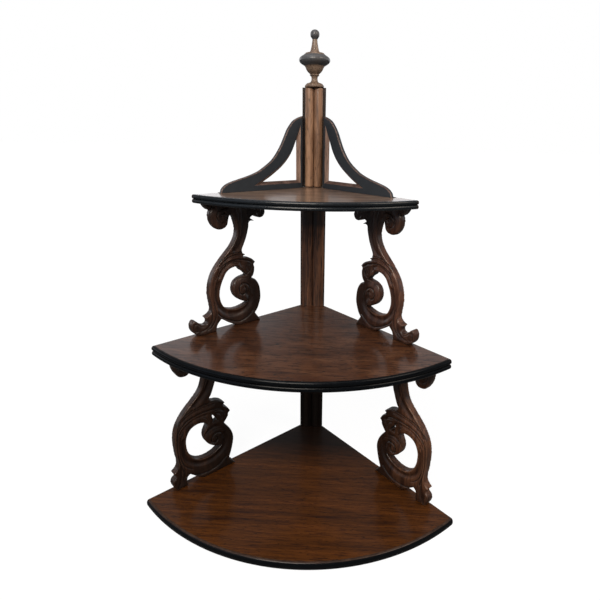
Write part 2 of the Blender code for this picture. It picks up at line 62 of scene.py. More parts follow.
MM = 0.001
CORNER_CUT = 0.006
CORNER_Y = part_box("bottom_shelf")[1].y + CORNER_CUT
ROOT_HALF = math.sqrt(0.5)
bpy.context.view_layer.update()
SAME_POINT = 1e-6
# Stands a flat drawing up, its y along Z
UPRIGHT = Matrix.Rotation(math.radians(90), 4, "X")

Outline = Sequence[tuple]
Course = Sequence[tuple[float, float]]
Point = tuple[float, float, float]
Piece = bpy.types.Object
Tree = bpy.types.NodeTree
# What an input takes: a node, whose first output is linked, a socket, a hex colour or a value
Source = Any


class Wall(Enum):
    """The wall that a board stands along, seen from the room."""

    LEFT = -1
    RIGHT = 1


class Grain(Enum):
    """The way the long fibres of a piece run, as the turn that lays them along X."""

    ACROSS = (0.0, 0.0, 0.0)
    UPRIGHT = (0.0, math.radians(90), 0.0)


# Small tools of the bench

def select_only(piece: Piece) -> None:
    """Leave one piece selected and active.

    Args:
        piece: The piece that the next operator works on.
    """
    bpy.ops.object.select_all(action="DESELECT")
    piece.select_set(True)
    bpy.context.view_layer.objects.active = piece


def put_in_scene(name: str, data: Any) -> Piece:
    """Put new data into the scene as an object.

    Args:
        name: The object's name.
        data: Its mesh, curve, lamp or camera.

    Returns:
        The object.
    """
    made = bpy.data.objects.new(name, data)
    bpy.context.scene.collection.objects.link(made)
    return made


@contextmanager
def editing(piece: Piece) -> Iterator[None]:
    """Open a piece in edit mode with all of it selected, and close it afterwards.

    Args:
        piece: The mesh piece.

    Yields:
        Nothing. The mesh operators work on the piece meanwhile.
    """
    select_only(piece)
    bpy.ops.object.mode_set(mode="EDIT")
    bpy.ops.mesh.select_all(action="SELECT")
    yield
    bpy.ops.object.mode_set(mode="OBJECT")


def apply_modifier(piece: Piece, kind: str, **settings: Any) -> None:
    """Add a modifier to a piece and apply it.

    Args:
        piece: The piece to change.
        kind: The modifier's type, such as BEVEL.
        settings: Values for the modifier's own settings.
    """
    modifier = piece.modifiers.new(kind.lower(), kind)
    for name, value in settings.items():
        setattr(modifier, name, value)
    select_only(piece)
    bpy.ops.object.modifier_apply(modifier=modifier.name)


def clean_mesh(piece: Piece, distance: float = SAME_POINT) -> None:
    """Join doubled points of a piece and turn its faces outwards.

    Args:
        piece: The mesh piece.
        distance: Points closer than this become one.
    """
    with editing(piece):
        bpy.ops.mesh.remove_doubles(threshold=distance)
        bpy.ops.mesh.normals_make_consistent(inside=False)


def cut_away(piece: Piece, planes: Sequence[tuple[Point, Point]]) -> None:
    """Cut a piece off along planes and close it.

    Args:
        piece: The mesh piece.
        planes: A point and a normal for each cut. What lies on the normal's side goes.
    """
    with editing(piece):
        for place, away in planes:
            bpy.ops.mesh.select_all(action="SELECT")
            bpy.ops.mesh.bisect(plane_co=place, plane_no=away, use_fill=True, clear_outer=True,
                                threshold=SAME_POINT)


def spin_round(section: Piece, axis: Vector, angle: float, steps: int) -> None:
    """Turn a section round an upright axis into a solid.

    Args:
        section: The section, standing at its place. It becomes the solid.
        axis: A point on the axis.
        angle: How far it turns, in radians.
        steps: Steps of the turn.
    """
    with editing(section):
        bpy.ops.mesh.spin(steps=steps, angle=angle, center=axis, axis=(0.0, 0.0, 1.0))


def apply_place(piece: Piece) -> None:
    """Move a piece's place into its mesh, so that its object sits at the origin."""
    select_only(piece)
    bpy.ops.object.transform_apply(location=True, rotation=True, scale=True)


def drawn_curve(name: str, outlines: Sequence[Outline], smooth: bool, resolution: int,
                closed: bool = True, thickness: float = 0.0) -> Piece:
    """Draw flat outlines as one curve and make it a mesh.

    Args:
        name: The piece's name.
        outlines: Points in metres. A third entry marks a crisp corner.
        smooth: Whether the line flows through the points that aren't corners.
        resolution: Steps between two points of a flowing line.
        closed: Whether each outline closes on itself and is filled.
        thickness: Full thickness of the board, centred on its plane.

    Returns:
        The mesh object.
    """
    curve = bpy.data.curves.new(name, "CURVE")
    curve.dimensions = "2D" if closed else "3D"
    curve.fill_mode = "BOTH" if closed else "FULL"
    curve.resolution_u = resolution
    curve.extrude = thickness / 2
    for outline in outlines:
        spline = curve.splines.new("BEZIER" if smooth else "POLY")
        controls = spline.bezier_points if smooth else spline.points
        controls.add(len(outline) - 1)
        for control, point in zip(controls, outline):
            if smooth:
                control.co = (point[0], point[1], 0.0)
                control.handle_left_type = "VECTOR" if len(point) > 2 else "AUTO"
                control.handle_right_type = control.handle_left_type
            else:
                control.co = (point[0], point[1], 0.0, 1.0)
        spline.use_cyclic_u = closed
    piece = put_in_scene(name, curve)
    select_only(piece)
    bpy.ops.object.convert(target="MESH")
    clean_mesh(piece)
    return piece


def stand_on_wall(piece: Piece, wall: Wall, start: float, inward: float, bottom: float) -> None:
    """Stand a flat pattern up along a wall, its x along the wall, its y up and its z into the room.

    Args:
        piece: The pattern, drawn flat.
        wall: The wall it goes along.
        start: Distance of the pattern's zero from the corner, along the wall.
        inward: Distance of the pattern's middle plane from the wall.
        bottom: Height of the pattern's zero.
    """
    side = wall.value
    piece.data.transform(Matrix((
        (side * ROOT_HALF, 0.0, -side * ROOT_HALF, side * (start - inward) * ROOT_HALF),
        (-ROOT_HALF, 0.0, -ROOT_HALF, CORNER_Y - (start + inward) * ROOT_HALF),
        (0.0, 1.0, 0.0, bottom),
        (0.0, 0.0, 0.0, 1.0),
    )))
    if side < 0:
        piece.data.flip_normals()


# Lines on a face

def held(values: np.ndarray) -> np.ndarray:
    """Values held between 0 and 1."""
    return np.clip(values, 0, 1)


def flowing(course: Course, steps: int = 8) -> np.ndarray:
    """Points along a smooth open line through the given ones.

    Args:
        course: The points that the line passes through.
        steps: Points made between two given ones.

    Returns:
        An array of points, two columns.
    """
    given = np.array([point[:2] for point in course], float)
    ends = np.array([2 * given[0] - given[1], *given, 2 * given[-1] - given[-2]])
    share = np.linspace(0, 1, steps, endpoint=False)[:, None]
    found = []
    for i in range(len(given) - 1):
        before, first, second, after = ends[i:i + 4]
        found.append(0.5 * (
            2 * first + (second - before) * share
            + (2 * before - 5 * first + 4 * second - after) * share**2
            + (3 * first - before - 3 * second + after) * share**3
        ))
    return np.concatenate([*found, given[-1:]])


def corner_line(outline: Outline, steps: int = 6) -> np.ndarray:
    """A closed outline with its crisp corners kept and the rest made to flow.

    Args:
        outline: Points of the outline. A third entry marks a crisp corner.
        steps: Points made between two given ones.

    Returns:
        An array of points, two columns.
    """
    points = [np.array(point[:2], float) for point in outline]
    crisp = [len(point) > 2 for point in outline]
    count = len(points)
    found = []
    for i in range(count):
        after = (i + 1) % count
        first, second = points[i], points[after]
        leave = second - first if crisp[i] else (second - points[i - 1]) / 2
        arrive = second - first if crisp[after] else (points[(i + 2) % count] - first) / 2
        for step in range(steps):
            t = step / steps
            found.append(
                first * (2 * t**3 - 3 * t**2 + 1) + leave * (t**3 - 2 * t**2 + t)
                + second * (3 * t**2 - 2 * t**3) + arrive * (t**3 - t**2)
            )
    return np.array(found)


def distance_to(points: np.ndarray, line: np.ndarray) -> np.ndarray:
    """Distance of each point from a line of short straight stretches.

    Args:
        points: Points on the face, two columns.
        line: The line's points in order.

    Returns:
        One distance for each point.
    """
    nearest = np.full(len(points), np.inf)
    for first, second in zip(line, line[1:]):
        stretch = second - first
        length = max(float(stretch @ stretch), 1e-12)
        share = held((points - first) @ stretch / length)
        gap = points - first - share[:, None] * stretch
        nearest = np.minimum(nearest, np.einsum("ij,ij->i", gap, gap))
    return np.sqrt(nearest)


# Materials

def colour(code: str | float) -> tuple[float, float, float, float]:
    """Linear colour of an sRGB hex value, or of a linear grey.

    Args:
        code: Six hex digits after a hash, or a level from 0 to 1.

    Returns:
        Red, green, blue and alpha.
    """
    if not isinstance(code, str):
        return (code, code, code, 1.0)
    channels = []
    for start in (1, 3, 5):
        value = int(code[start:start + 2], 16) / 255
        channels.append(value / 12.92 if value <= 0.04045 else ((value + 0.055) / 1.055) ** 2.4)
    return (*channels, 1.0)


def fill_inputs(tree: Tree, node: bpy.types.Node, inputs: dict[Any, Source]) -> None:
    """Link a node's inputs or set their values.

    Args:
        tree: The node's tree.
        node: The node.
        inputs: What goes into each input, by name or number.
    """
    for name, value in inputs.items():
        if isinstance(value, bpy.types.Node):
            value = value.outputs[0]
        if isinstance(value, bpy.types.NodeSocket):
            tree.links.new(value, node.inputs[name])
        else:
            node.inputs[name].default_value = colour(value) if isinstance(value, str) else value


def add_node(tree: Tree, kind: str, inputs: Optional[dict[Any, Source]] = None,
             stops: Sequence[tuple[float, Any]] = (), **settings: Any) -> bpy.types.Node:
    """Add a node with its settings and links.

    Args:
        tree: The material's node tree.
        kind: The node's type without its ShaderNode prefix.
        inputs: What goes into each input, by name or number.
        stops: A ramp's places from 0 to 1, each with a hex colour or a grey level.
        settings: Values for the node's own properties.

    Returns:
        The node.
    """
    node = tree.nodes.new("ShaderNode" + kind)
    for name, value in settings.items():
        setattr(node, name, value)
    if stops:
        elements = node.color_ramp.elements
        while len(elements) < len(stops):
            elements.new(0.5)
        for element, (place, shade) in zip(elements, stops):
            element.position = place
            element.color = colour(shade)
    fill_inputs(tree, node, inputs or {})
    return node


def new_material(name: str) -> tuple[bpy.types.Material, Tree]:
    """Start a node material.

    Args:
        name: The material's name.

    Returns:
        The material and its node tree.
    """
    material = bpy.data.materials.new(name)
    material.use_nodes = True
    return material, material.node_tree


def fibres(tree: Tree, grain: Grain, along_mm: float, across_mm: float,
           shift: float, detail: float, distortion: float = 0.0) -> bpy.types.Node:
    """Noise drawn out along the grain.

    Args:
        tree: The material's node tree.
        grain: The way the fibres run.
        along_mm: Length of a mark in millimetres.
        across_mm: Width of a mark in millimetres.
        shift: Moves the pattern, so that no two boards show the same one.
        detail: Finer steps in the noise.
        distortion: How far the marks wander.

    Returns:
        The noise.
    """
    place = add_node(tree, "TexCoord").outputs["Object"]
    turned = add_node(tree, "Mapping", {"Rotation": grain.value, "Vector": place})
    drawn = add_node(tree, "Mapping", {
        "Scale": (1 / (along_mm * MM), 1 / (across_mm * MM), 1 / (across_mm * MM)),
        "Location": (shift, shift * 1.7, shift * 0.6), "Vector": turned,
    })
    return add_node(tree, "TexNoise", {"Scale": 1.0, "Detail": detail, "Roughness": 0.55,
                                       "Distortion": distortion, "Vector": drawn})


def laid_over(tree: Tree, base: Source, tone: str, pattern: Source,
              stops: Sequence[tuple[float, float]]) -> bpy.types.Node:
    """Lay a tone over a colour as far as a pattern lets it through.

    Args:
        tree: The material's node tree.
        base: The colour so far.
        tone: The tone that is laid over it.
        pattern: The pattern's value.
        stops: Places of that value, each with the tone's share there.

    Returns:
        The new colour.
    """
    share = add_node(tree, "ValToRGB", {"Fac": pattern}, stops)
    return add_node(tree, "MixRGB", {"Fac": share, "Color1": base, "Color2": tone})


@dataclass(frozen=True)
class PaintedShade:
    """Painted shade near the corner and the shelves, growing along one axis from start to end."""

    axis: str
    start: float
    end: float
    share: float


@dataclass(frozen=True)
class PolishedWood:
    """French polished hardwood: brown figure under a thin clear shellac film, with open pores.

    The film gives a soft wide gloss, and the pores show as short dark flecks along the grain.
    """

    name: str
    dark: str
    middle: str
    light: str
    grain: Grain = Grain.ACROSS
    # Length and width of a mark in millimetres. Real pores are a few tenths wide and wouldn't show,
    # so they and the streaks are drawn several times as coarse
    figure_mm: tuple[float, float] = (120.0, 15.0)
    streak_mm: tuple[float, float] = (48.0, 2.3)
    pore_mm: tuple[float, float] = (14.0, 1.6)
    patch_mm: tuple[float, float] = (150.0, 90.0)
    pore_depth: float = 0.75
    streak_depth: float = 0.8
    darkened: Sequence[PaintedShade] = ()
    patch: Optional[str] = None
    roughness: tuple[float, float] = (0.36, 0.50)
    specular: float = 0.4
    coat: float = 0.15
    coat_roughness: float = 0.16
    bump_mm: float = 0.05
    shift: float = 0.0
    carved: bool = False
    hollow: str = "#0f0a08"
    crest: str = "#8a6c57"

    def make(self) -> bpy.types.Material:
        """Build the material.

        Returns:
            The node material.
        """
        material, tree = new_material(self.name)
        figure = fibres(tree, self.grain, *self.figure_mm, self.shift, 3.0, 0.6)
        streaks = fibres(tree, self.grain, *self.streak_mm, self.shift + 3.1, 5.0, 0.3)
        pores = fibres(tree, self.grain, *self.pore_mm, self.shift + 7.7, 3.0)
        base = add_node(tree, "ValToRGB", {"Fac": figure},
                        [(0.20, self.dark), (0.46, self.middle), (0.68, self.light)])
        if self.patch:
            patches = fibres(tree, self.grain, *self.patch_mm, self.shift + 11.0, 2.0)
            base = laid_over(tree, base, self.patch, patches, [(0.45, 0.0), (0.68, 0.8)])
        base = laid_over(tree, base, self.dark, streaks, [(0.39, self.streak_depth), (0.475, 0.0)])
        base = laid_over(tree, base, self.hollow, pores, [(0.33, self.pore_depth), (0.42, 0.0)])
        # Painted shade near the corner and the shelves, laid in the hollows' colour
        for shade in self.darkened:
            place = add_node(tree, "TexCoord").outputs["Object"]
            along = add_node(tree, "SeparateXYZ", {"Vector": place}).outputs[shade.axis]
            near = add_node(tree, "MapRange", {"Value": along, "From Min": shade.start,
                                               "From Max": shade.end, "To Max": shade.share})
            base = add_node(tree, "MixRGB", {"Fac": near, "Color1": base, "Color2": self.hollow})
        if self.carved:
            # Convex crests lighter: rubbed wear, and a painted highlight
            edge = add_node(tree, "NewGeometry").outputs["Pointiness"]
            base = laid_over(tree, base, self.crest, edge, [(0.515, 0.0), (0.58, 0.5)])
            cut = add_node(tree, "Attribute", attribute_name="carving").outputs["Fac"]
            base = laid_over(tree, base, self.hollow, cut, [(0.05, 0.0), (0.70, 0.95)])
        low, high = self.roughness
        relief = add_node(tree, "Math", {0: streaks, 1: pores}, operation="ADD")
        fill_inputs(tree, tree.nodes["Principled BSDF"], {
            "Base Color": base, "Specular IOR Level": self.specular, "Coat Weight": self.coat,
            "Coat Roughness": self.coat_roughness,
            "Roughness": add_node(tree, "ValToRGB", {"Fac": streaks}, [(0.35, high), (0.65, low)]),
            "Normal": add_node(tree, "Bump", {"Strength": 0.5, "Distance": self.bump_mm * MM,
                                              "Height": relief}),
        })
        return material


@dataclass(frozen=True)
class Ebonised:
    """Black stained and polished hardwood: near black, a cool sheen, brown where hands wore it."""

    name: str
    black: str = "#06080b"
    worn: str = "#5a4334"
    roughness: float = 0.18
    worn_from: Optional[float] = None
    worn_band: float = 0.0012
    wear: float = 0.5
    specular: float = 0.3
    coat: float = 0.05
    coat_roughness: float = 0.1
    patch: str = "#0a0e12"
    patch_mm: float = 14.0
    # The film's ripple, drawn coarser than the real one so that it shows
    fine_mm: float = 2.5
    bump_mm: float = 0.03

    def rubbed(self, tree: Tree, base: Source, where: Source, patches: Source,
               stops: Sequence[tuple[float, float]]) -> bpy.types.Node:
        """Wear the black through to the brown, in patches.

        Args:
            tree: The material's node tree.
            base: The colour so far.
            where: How far each place is worn.
            patches: The patches' noise.
            stops: Places of that noise, each with the share of the wear there.

        Returns:
            The new colour.
        """
        uneven = add_node(tree, "ValToRGB", {"Fac": patches}, stops)
        share = add_node(tree, "MixRGB", {"Fac": 1.0, "Color1": where, "Color2": uneven},
                         blend_type="MULTIPLY")
        return add_node(tree, "MixRGB", {"Fac": share, "Color1": base, "Color2": self.worn})

    def make(self) -> bpy.types.Material:
        """Build the material.

        Returns:
            The node material.
        """
        material, tree = new_material(self.name)
        place = add_node(tree, "TexCoord").outputs["Object"]
        patches, fine = (
            add_node(tree, "TexNoise", {"Scale": 1 / (mark * MM), "Detail": steps, "Vector": place})
            for mark, steps in ((self.patch_mm, 4.0), (self.fine_mm, 3.0))
        )
        base = laid_over(tree, self.black, self.patch, patches, [(0.4, 0.0), (0.7, 0.5)])
        edge = add_node(tree, "NewGeometry").outputs["Pointiness"]
        edges = add_node(tree, "ValToRGB", {"Fac": edge}, [(0.52, 0.0), (0.60, self.wear)])
        base = self.rubbed(tree, base, edges, patches, [(0.35, 0.2), (0.6, 1.0)])
        if self.worn_from is not None:
            height = add_node(tree, "SeparateXYZ", {"Vector": place}).outputs["Z"]
            risen = add_node(tree, "MapRange", {"Value": height, "From Min": self.worn_from,
                                                "From Max": self.worn_from + self.worn_band})
            base = self.rubbed(tree, base, risen, patches, [(0.30, 0.35), (0.62, 1.0)])
        fill_inputs(tree, tree.nodes["Principled BSDF"], {
            "Base Color": base, "Specular IOR Level": self.specular, "Coat Weight": self.coat,
            "Coat Roughness": self.coat_roughness,
            "Roughness": add_node(tree, "ValToRGB", {"Fac": fine},
                                  [(0.3, self.roughness + 0.1), (0.7, self.roughness)]),
            "Normal": add_node(tree, "Bump", {"Strength": 0.25, "Distance": self.bump_mm * MM,
                                              "Height": fine}),
        })
        return material


UprightWood = partial(PolishedWood, grain=Grain.UPRIGHT)


# Handing pieces over

def hand_over(piece: Piece, nodes: Iterable[str], finishes: Sequence[bpy.types.Material],
              angle: float = 35.0, flat: bool = False) -> None:
    """Finish a piece: shade it, dress it, and let it ride and stand for its CAD nodes.

    Args:
        piece: The finished mesh piece.
        nodes: The CAD nodes that the piece stands for.
        finishes: The materials for the piece's slots, in order.
        angle: Edges sharper than this, in degrees, stay crisp.
        flat: Whether large flat faces keep their own shading beside eased arrises.

    Raises:
        ValueError: The piece has no faces, so its solid would vanish from the scene.
    """
    if not piece.data.polygons:
        raise ValueError("%s has no faces" % piece.name)
    apply_place(piece)
    bpy.ops.object.shade_smooth_by_angle(angle=math.radians(angle))
    if flat:
        apply_modifier(piece, "WEIGHTED_NORMAL", weight=100, keep_sharp=True)
    for finish in finishes:
        piece.data.materials.append(finish)
    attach(piece, "root")
    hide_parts(*nodes)
    log.info("%s: %d faces, for %s", piece.name, len(piece.data.polygons), ", ".join(nodes))


# Shelves

@dataclass(frozen=True)
class Tier:
    """Sizes of one quadrant shelf."""

    name: str
    back_edge: float
    bow: float
    beads: int

    @property
    def top(self) -> float:
        """Height of the top face."""
        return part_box(self.name + "_shelf")[1].z

    @property
    def underside(self) -> float:
        """Height of the underside."""
        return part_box(self.name + "_shelf")[0].z

    @property
    def half_width(self) -> float:
        """Half the distance between the tips."""
        return self.back_edge * ROOT_HALF

    @property
    def front_radius(self) -> float:
        """Radius of the bowed front."""
        return (self.half_width**2 + self.bow**2) / (2 * self.bow)

    @property
    def behind(self) -> float:
        """How far the bow's centre lies behind the corner."""
        return self.front_radius - self.half_width - self.bow


@dataclass
class Shelf:
    """One shelf: its polished board and the ebonised moulding along its bowed front."""

    tier: Tier
    board_finish: PolishedWood
    edge_finish: Ebonised
    strip: float = 0.0015
    bead: float = 0.0045
    fit: float = 0.0003
    arc_steps: int = 96
    bead_steps: int = 14
    arris: float = 0.0006
    # A bead is a little fuller than a half round
    bead_fullness: float = 0.8
    # How far past each wall the moulding runs before it is trimmed, in radians
    overrun: float = 0.03

    def front_points(self, inset: float) -> list[tuple[float, float]]:
        """Points of the front, drawn in by an inset, with the corner at zero.

        Args:
            inset: Distance from the moulding's outermost line.

        Returns:
            Points from the right tip to the left one.
        """
        radius = self.tier.front_radius - inset
        behind = self.tier.behind
        across = (math.sqrt(2 * radius**2 - behind**2) - behind) / 2
        sweep = math.atan2(across, across + behind)
        points = []
        for step in range(self.arc_steps + 1):
            angle = sweep * (1 - 2 * step / self.arc_steps)
            points.append((radius * math.sin(angle), behind - radius * math.cos(angle)))
        return points

    def make_board(self) -> None:
        """Saw the board, soften its arrises and dress it."""
        tier = self.tier
        corner = [(-CORNER_CUT, -CORNER_CUT), (CORNER_CUT, -CORNER_CUT)]
        outline = corner + self.front_points(self.strip + self.bead + self.fit)
        board = drawn_curve("polished_%s_board" % tier.name, [outline], False, 1,
                            thickness=tier.top - tier.underside)
        apply_modifier(board, "BEVEL", width=self.arris, segments=3, limit_method="ANGLE",
                       angle_limit=math.radians(40))
        board.location = (0.0, CORNER_Y, (tier.top + tier.underside) / 2)
        hand_over(board, [tier.name + "_shelf"], [self.board_finish.make()],
                  flat=True)

    def section(self) -> list[tuple[float, float]]:
        """Section of the moulding: a flat strip with one or two rounded beads.

        Returns:
            Points as distance from the bow's centre and height.
        """
        tier = self.tier
        face = tier.front_radius - self.bead
        high = (tier.top - tier.underside) / tier.beads
        points = [(face - self.strip, tier.top), (face - self.strip, tier.underside)]
        for bead in range(tier.beads):
            middle = tier.underside + high * (bead + 0.5)
            for step in range(0 if bead == 0 else 1, self.bead_steps + 1):
                angle = math.pi * (step / self.bead_steps - 0.5)
                out = face + self.bead * math.cos(angle) ** self.bead_fullness
                points.append((out, middle + high / 2 * math.sin(angle)))
        return points

    def make_moulding(self) -> None:
        """Run the moulding round the bow and trim its ends to the walls."""
        tier = self.tier
        moulding = drawn_curve("%s_edge_moulding" % tier.name, [self.section()], False, 1)
        sweep = math.atan2(tier.half_width, tier.half_width + tier.behind) + self.overrun
        centre = Vector((0.0, CORNER_Y + tier.behind, 0.0))
        # The spin tool goes round clockwise seen from above, so the section starts at the right tip
        turn = Matrix.Rotation(sweep - math.radians(90), 4, "Z")
        moulding.data.transform(Matrix.Translation(centre) @ turn @ UPRIGHT)
        spin_round(moulding, centre, 2 * sweep, self.arc_steps)
        cut_away(moulding, [((0.0, CORNER_Y, 0.0), (side * ROOT_HALF, ROOT_HALF, 0.0))
                            for side in (-1, 1)])
        clean_mesh(moulding)
        hand_over(moulding, [tier.name + "_moulding"],
                  [self.edge_finish.make()], 40.0)

    def make(self) -> None:
        """Make both pieces of the shelf."""
        self.make_board()
        self.make_moulding()


# Corner post

@dataclass
class PostLength:
    """One length of the corner post: the block in the corner and two reeds on its front."""

    node: str
    half_width: float
    reed_width: float
    reed_depth: float
    block_finish: Ebonised | PolishedWood
    reed_finish: PolishedWood
    end_round: float = 0.0
    strip: float = 0.001
    fit: float = 0.0003
    arris: float = 0.0003
    facets: int = 72
    # Keeps the two reeds from touching before they are joined
    reed_gap: float = 0.00005

    def make_block(self) -> None:
        """Plane the block that fills the corner."""
        low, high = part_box(self.node)
        half = self.half_width
        section = [(-CORNER_CUT, -CORNER_CUT), (CORNER_CUT, -CORNER_CUT), (half, -half),
                   (-half, -half)]
        block = drawn_curve(self.node + "_block", [section], False, 1, thickness=high.z - low.z)
        apply_modifier(block, "BEVEL", width=self.arris, segments=2, limit_method="ANGLE")
        block.location = (0.0, CORNER_Y, (low.z + high.z) / 2)
        hand_over(block, [self.node], [self.block_finish.make()], flat=True)

    def make_reeds(self) -> None:
        """Turn the two reeds as half rounds with eased ends, standing side by side."""
        low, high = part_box(self.node)
        back = CORNER_Y - self.half_width - self.fit - self.strip
        reeds = []
        for side in (-1, 1):
            bpy.ops.object.select_all(action="DESELECT")
            bpy.ops.mesh.primitive_cylinder_add(
                vertices=self.facets, radius=self.reed_width / 2 - self.reed_gap,
                depth=high.z - low.z,
                location=(side * self.reed_width / 2, back, (low.z + high.z) / 2),
            )
            reed = bpy.context.object
            reed.scale = (1.0, 2 * self.reed_depth / self.reed_width, 1.0)
            apply_place(reed)
            if self.end_round:
                apply_modifier(reed, "BEVEL", width=self.end_round, segments=5,
                               limit_method="ANGLE", angle_limit=math.radians(60))
            cut_away(reed, [((0.0, back + self.strip, 0.0), (0.0, 1.0, 0.0))])
            reeds.append(reed)
        select_only(reeds[0])
        reeds[1].select_set(True)
        bpy.ops.object.join()
        reeding = bpy.context.object
        reeding.name = self.node + "_reeds"
        clean_mesh(reeding)
        hand_over(reeding, [self.node + "_reeding"], [self.reed_finish.make()], 50.0)

    def make(self) -> None:
        """Make the block and its reeds."""
        self.make_block()
        self.make_reeds()


# Finial

@dataclass
class Finial:
    """The turned finial: a brown cup and spire with an ebonised ring and ball."""

    brown: PolishedWood
    black: Ebonised
    height: float = 0.109
    setback: float = 0.022
    spigot: tuple[float, float] = (0.005, 0.022)
    steps: int = 72
    # Radius and height above the seat in millimetres, crisp where a third entry stands
    profile: Outline = (
        (19.2, 0.0, 1), (19.9, 1.2), (19.9, 3.4), (18.9, 4.6, 1), (18.2, 5.2), (17.6, 6.0),
        (14.6, 8.0), (10.6, 9.2), (8.2, 10.6), (7.2, 12.3), (6.4, 16.7), (6.7, 19.6),
        (7.4, 22.1, 1), (9.4, 22.8), (9.6, 24.4), (9.0, 25.2, 1), (11.0, 27.2), (13.8, 29.7),
        (16.9, 34.0), (18.9, 38.4), (20.6, 41.0, 1), (22.8, 42.4), (26.3, 44.4), (30.3, 47.8),
        (31.9, 51.4), (31.2, 54.8), (28.4, 57.8), (25.1, 60.0), (22.4, 61.6, 1), (21.6, 62.6),
        (20.7, 62.9), (18.8, 65.1, 1), (14.0, 66.0), (10.8, 67.2), (8.9, 69.8), (8.0, 73.0),
        (6.8, 78.2), (5.8, 84.0), (4.9, 90.4, 1), (6.6, 93.2), (8.6, 96.0), (9.3, 99.7),
        (8.6, 103.4), (6.6, 106.4), (3.6, 108.3), (0.0, 109.0, 1),
    )
    # Heights above the seat between which the ring is stained, and from which the ball is
    ring: tuple[float, float] = (0.0412, 0.0618)
    ball_from: float = 0.0903

    def make(self) -> None:
        """Turn the finial and stain its ring and ball."""
        radius, depth = self.spigot
        line = [(0.0, -depth, 1), (radius, -depth, 1), (radius, 0.0, 1)]
        line += [(point[0] * MM, point[1] * MM, *point[2:]) for point in self.profile]
        turned = drawn_curve("turned_finial", [line], True, 4, closed=False)
        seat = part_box("finial")[1].z - self.height
        axis = Vector((0.0, CORNER_Y - self.setback, 0.0))
        turned.data.transform(Matrix.Translation(axis + Vector((0.0, 0.0, seat))) @ UPRIGHT)
        spin_round(turned, axis, math.tau, self.steps)
        clean_mesh(turned, 5e-6)
        hand_over(turned, ["finial"], [self.brown.make(), self.black.make()], 32.0)
        for face in turned.data.polygons:
            up = face.center.z - seat
            stained = self.ring[0] < up < self.ring[1] or up > self.ball_from
            face.material_index = 1 if stained else 0


# Gallery

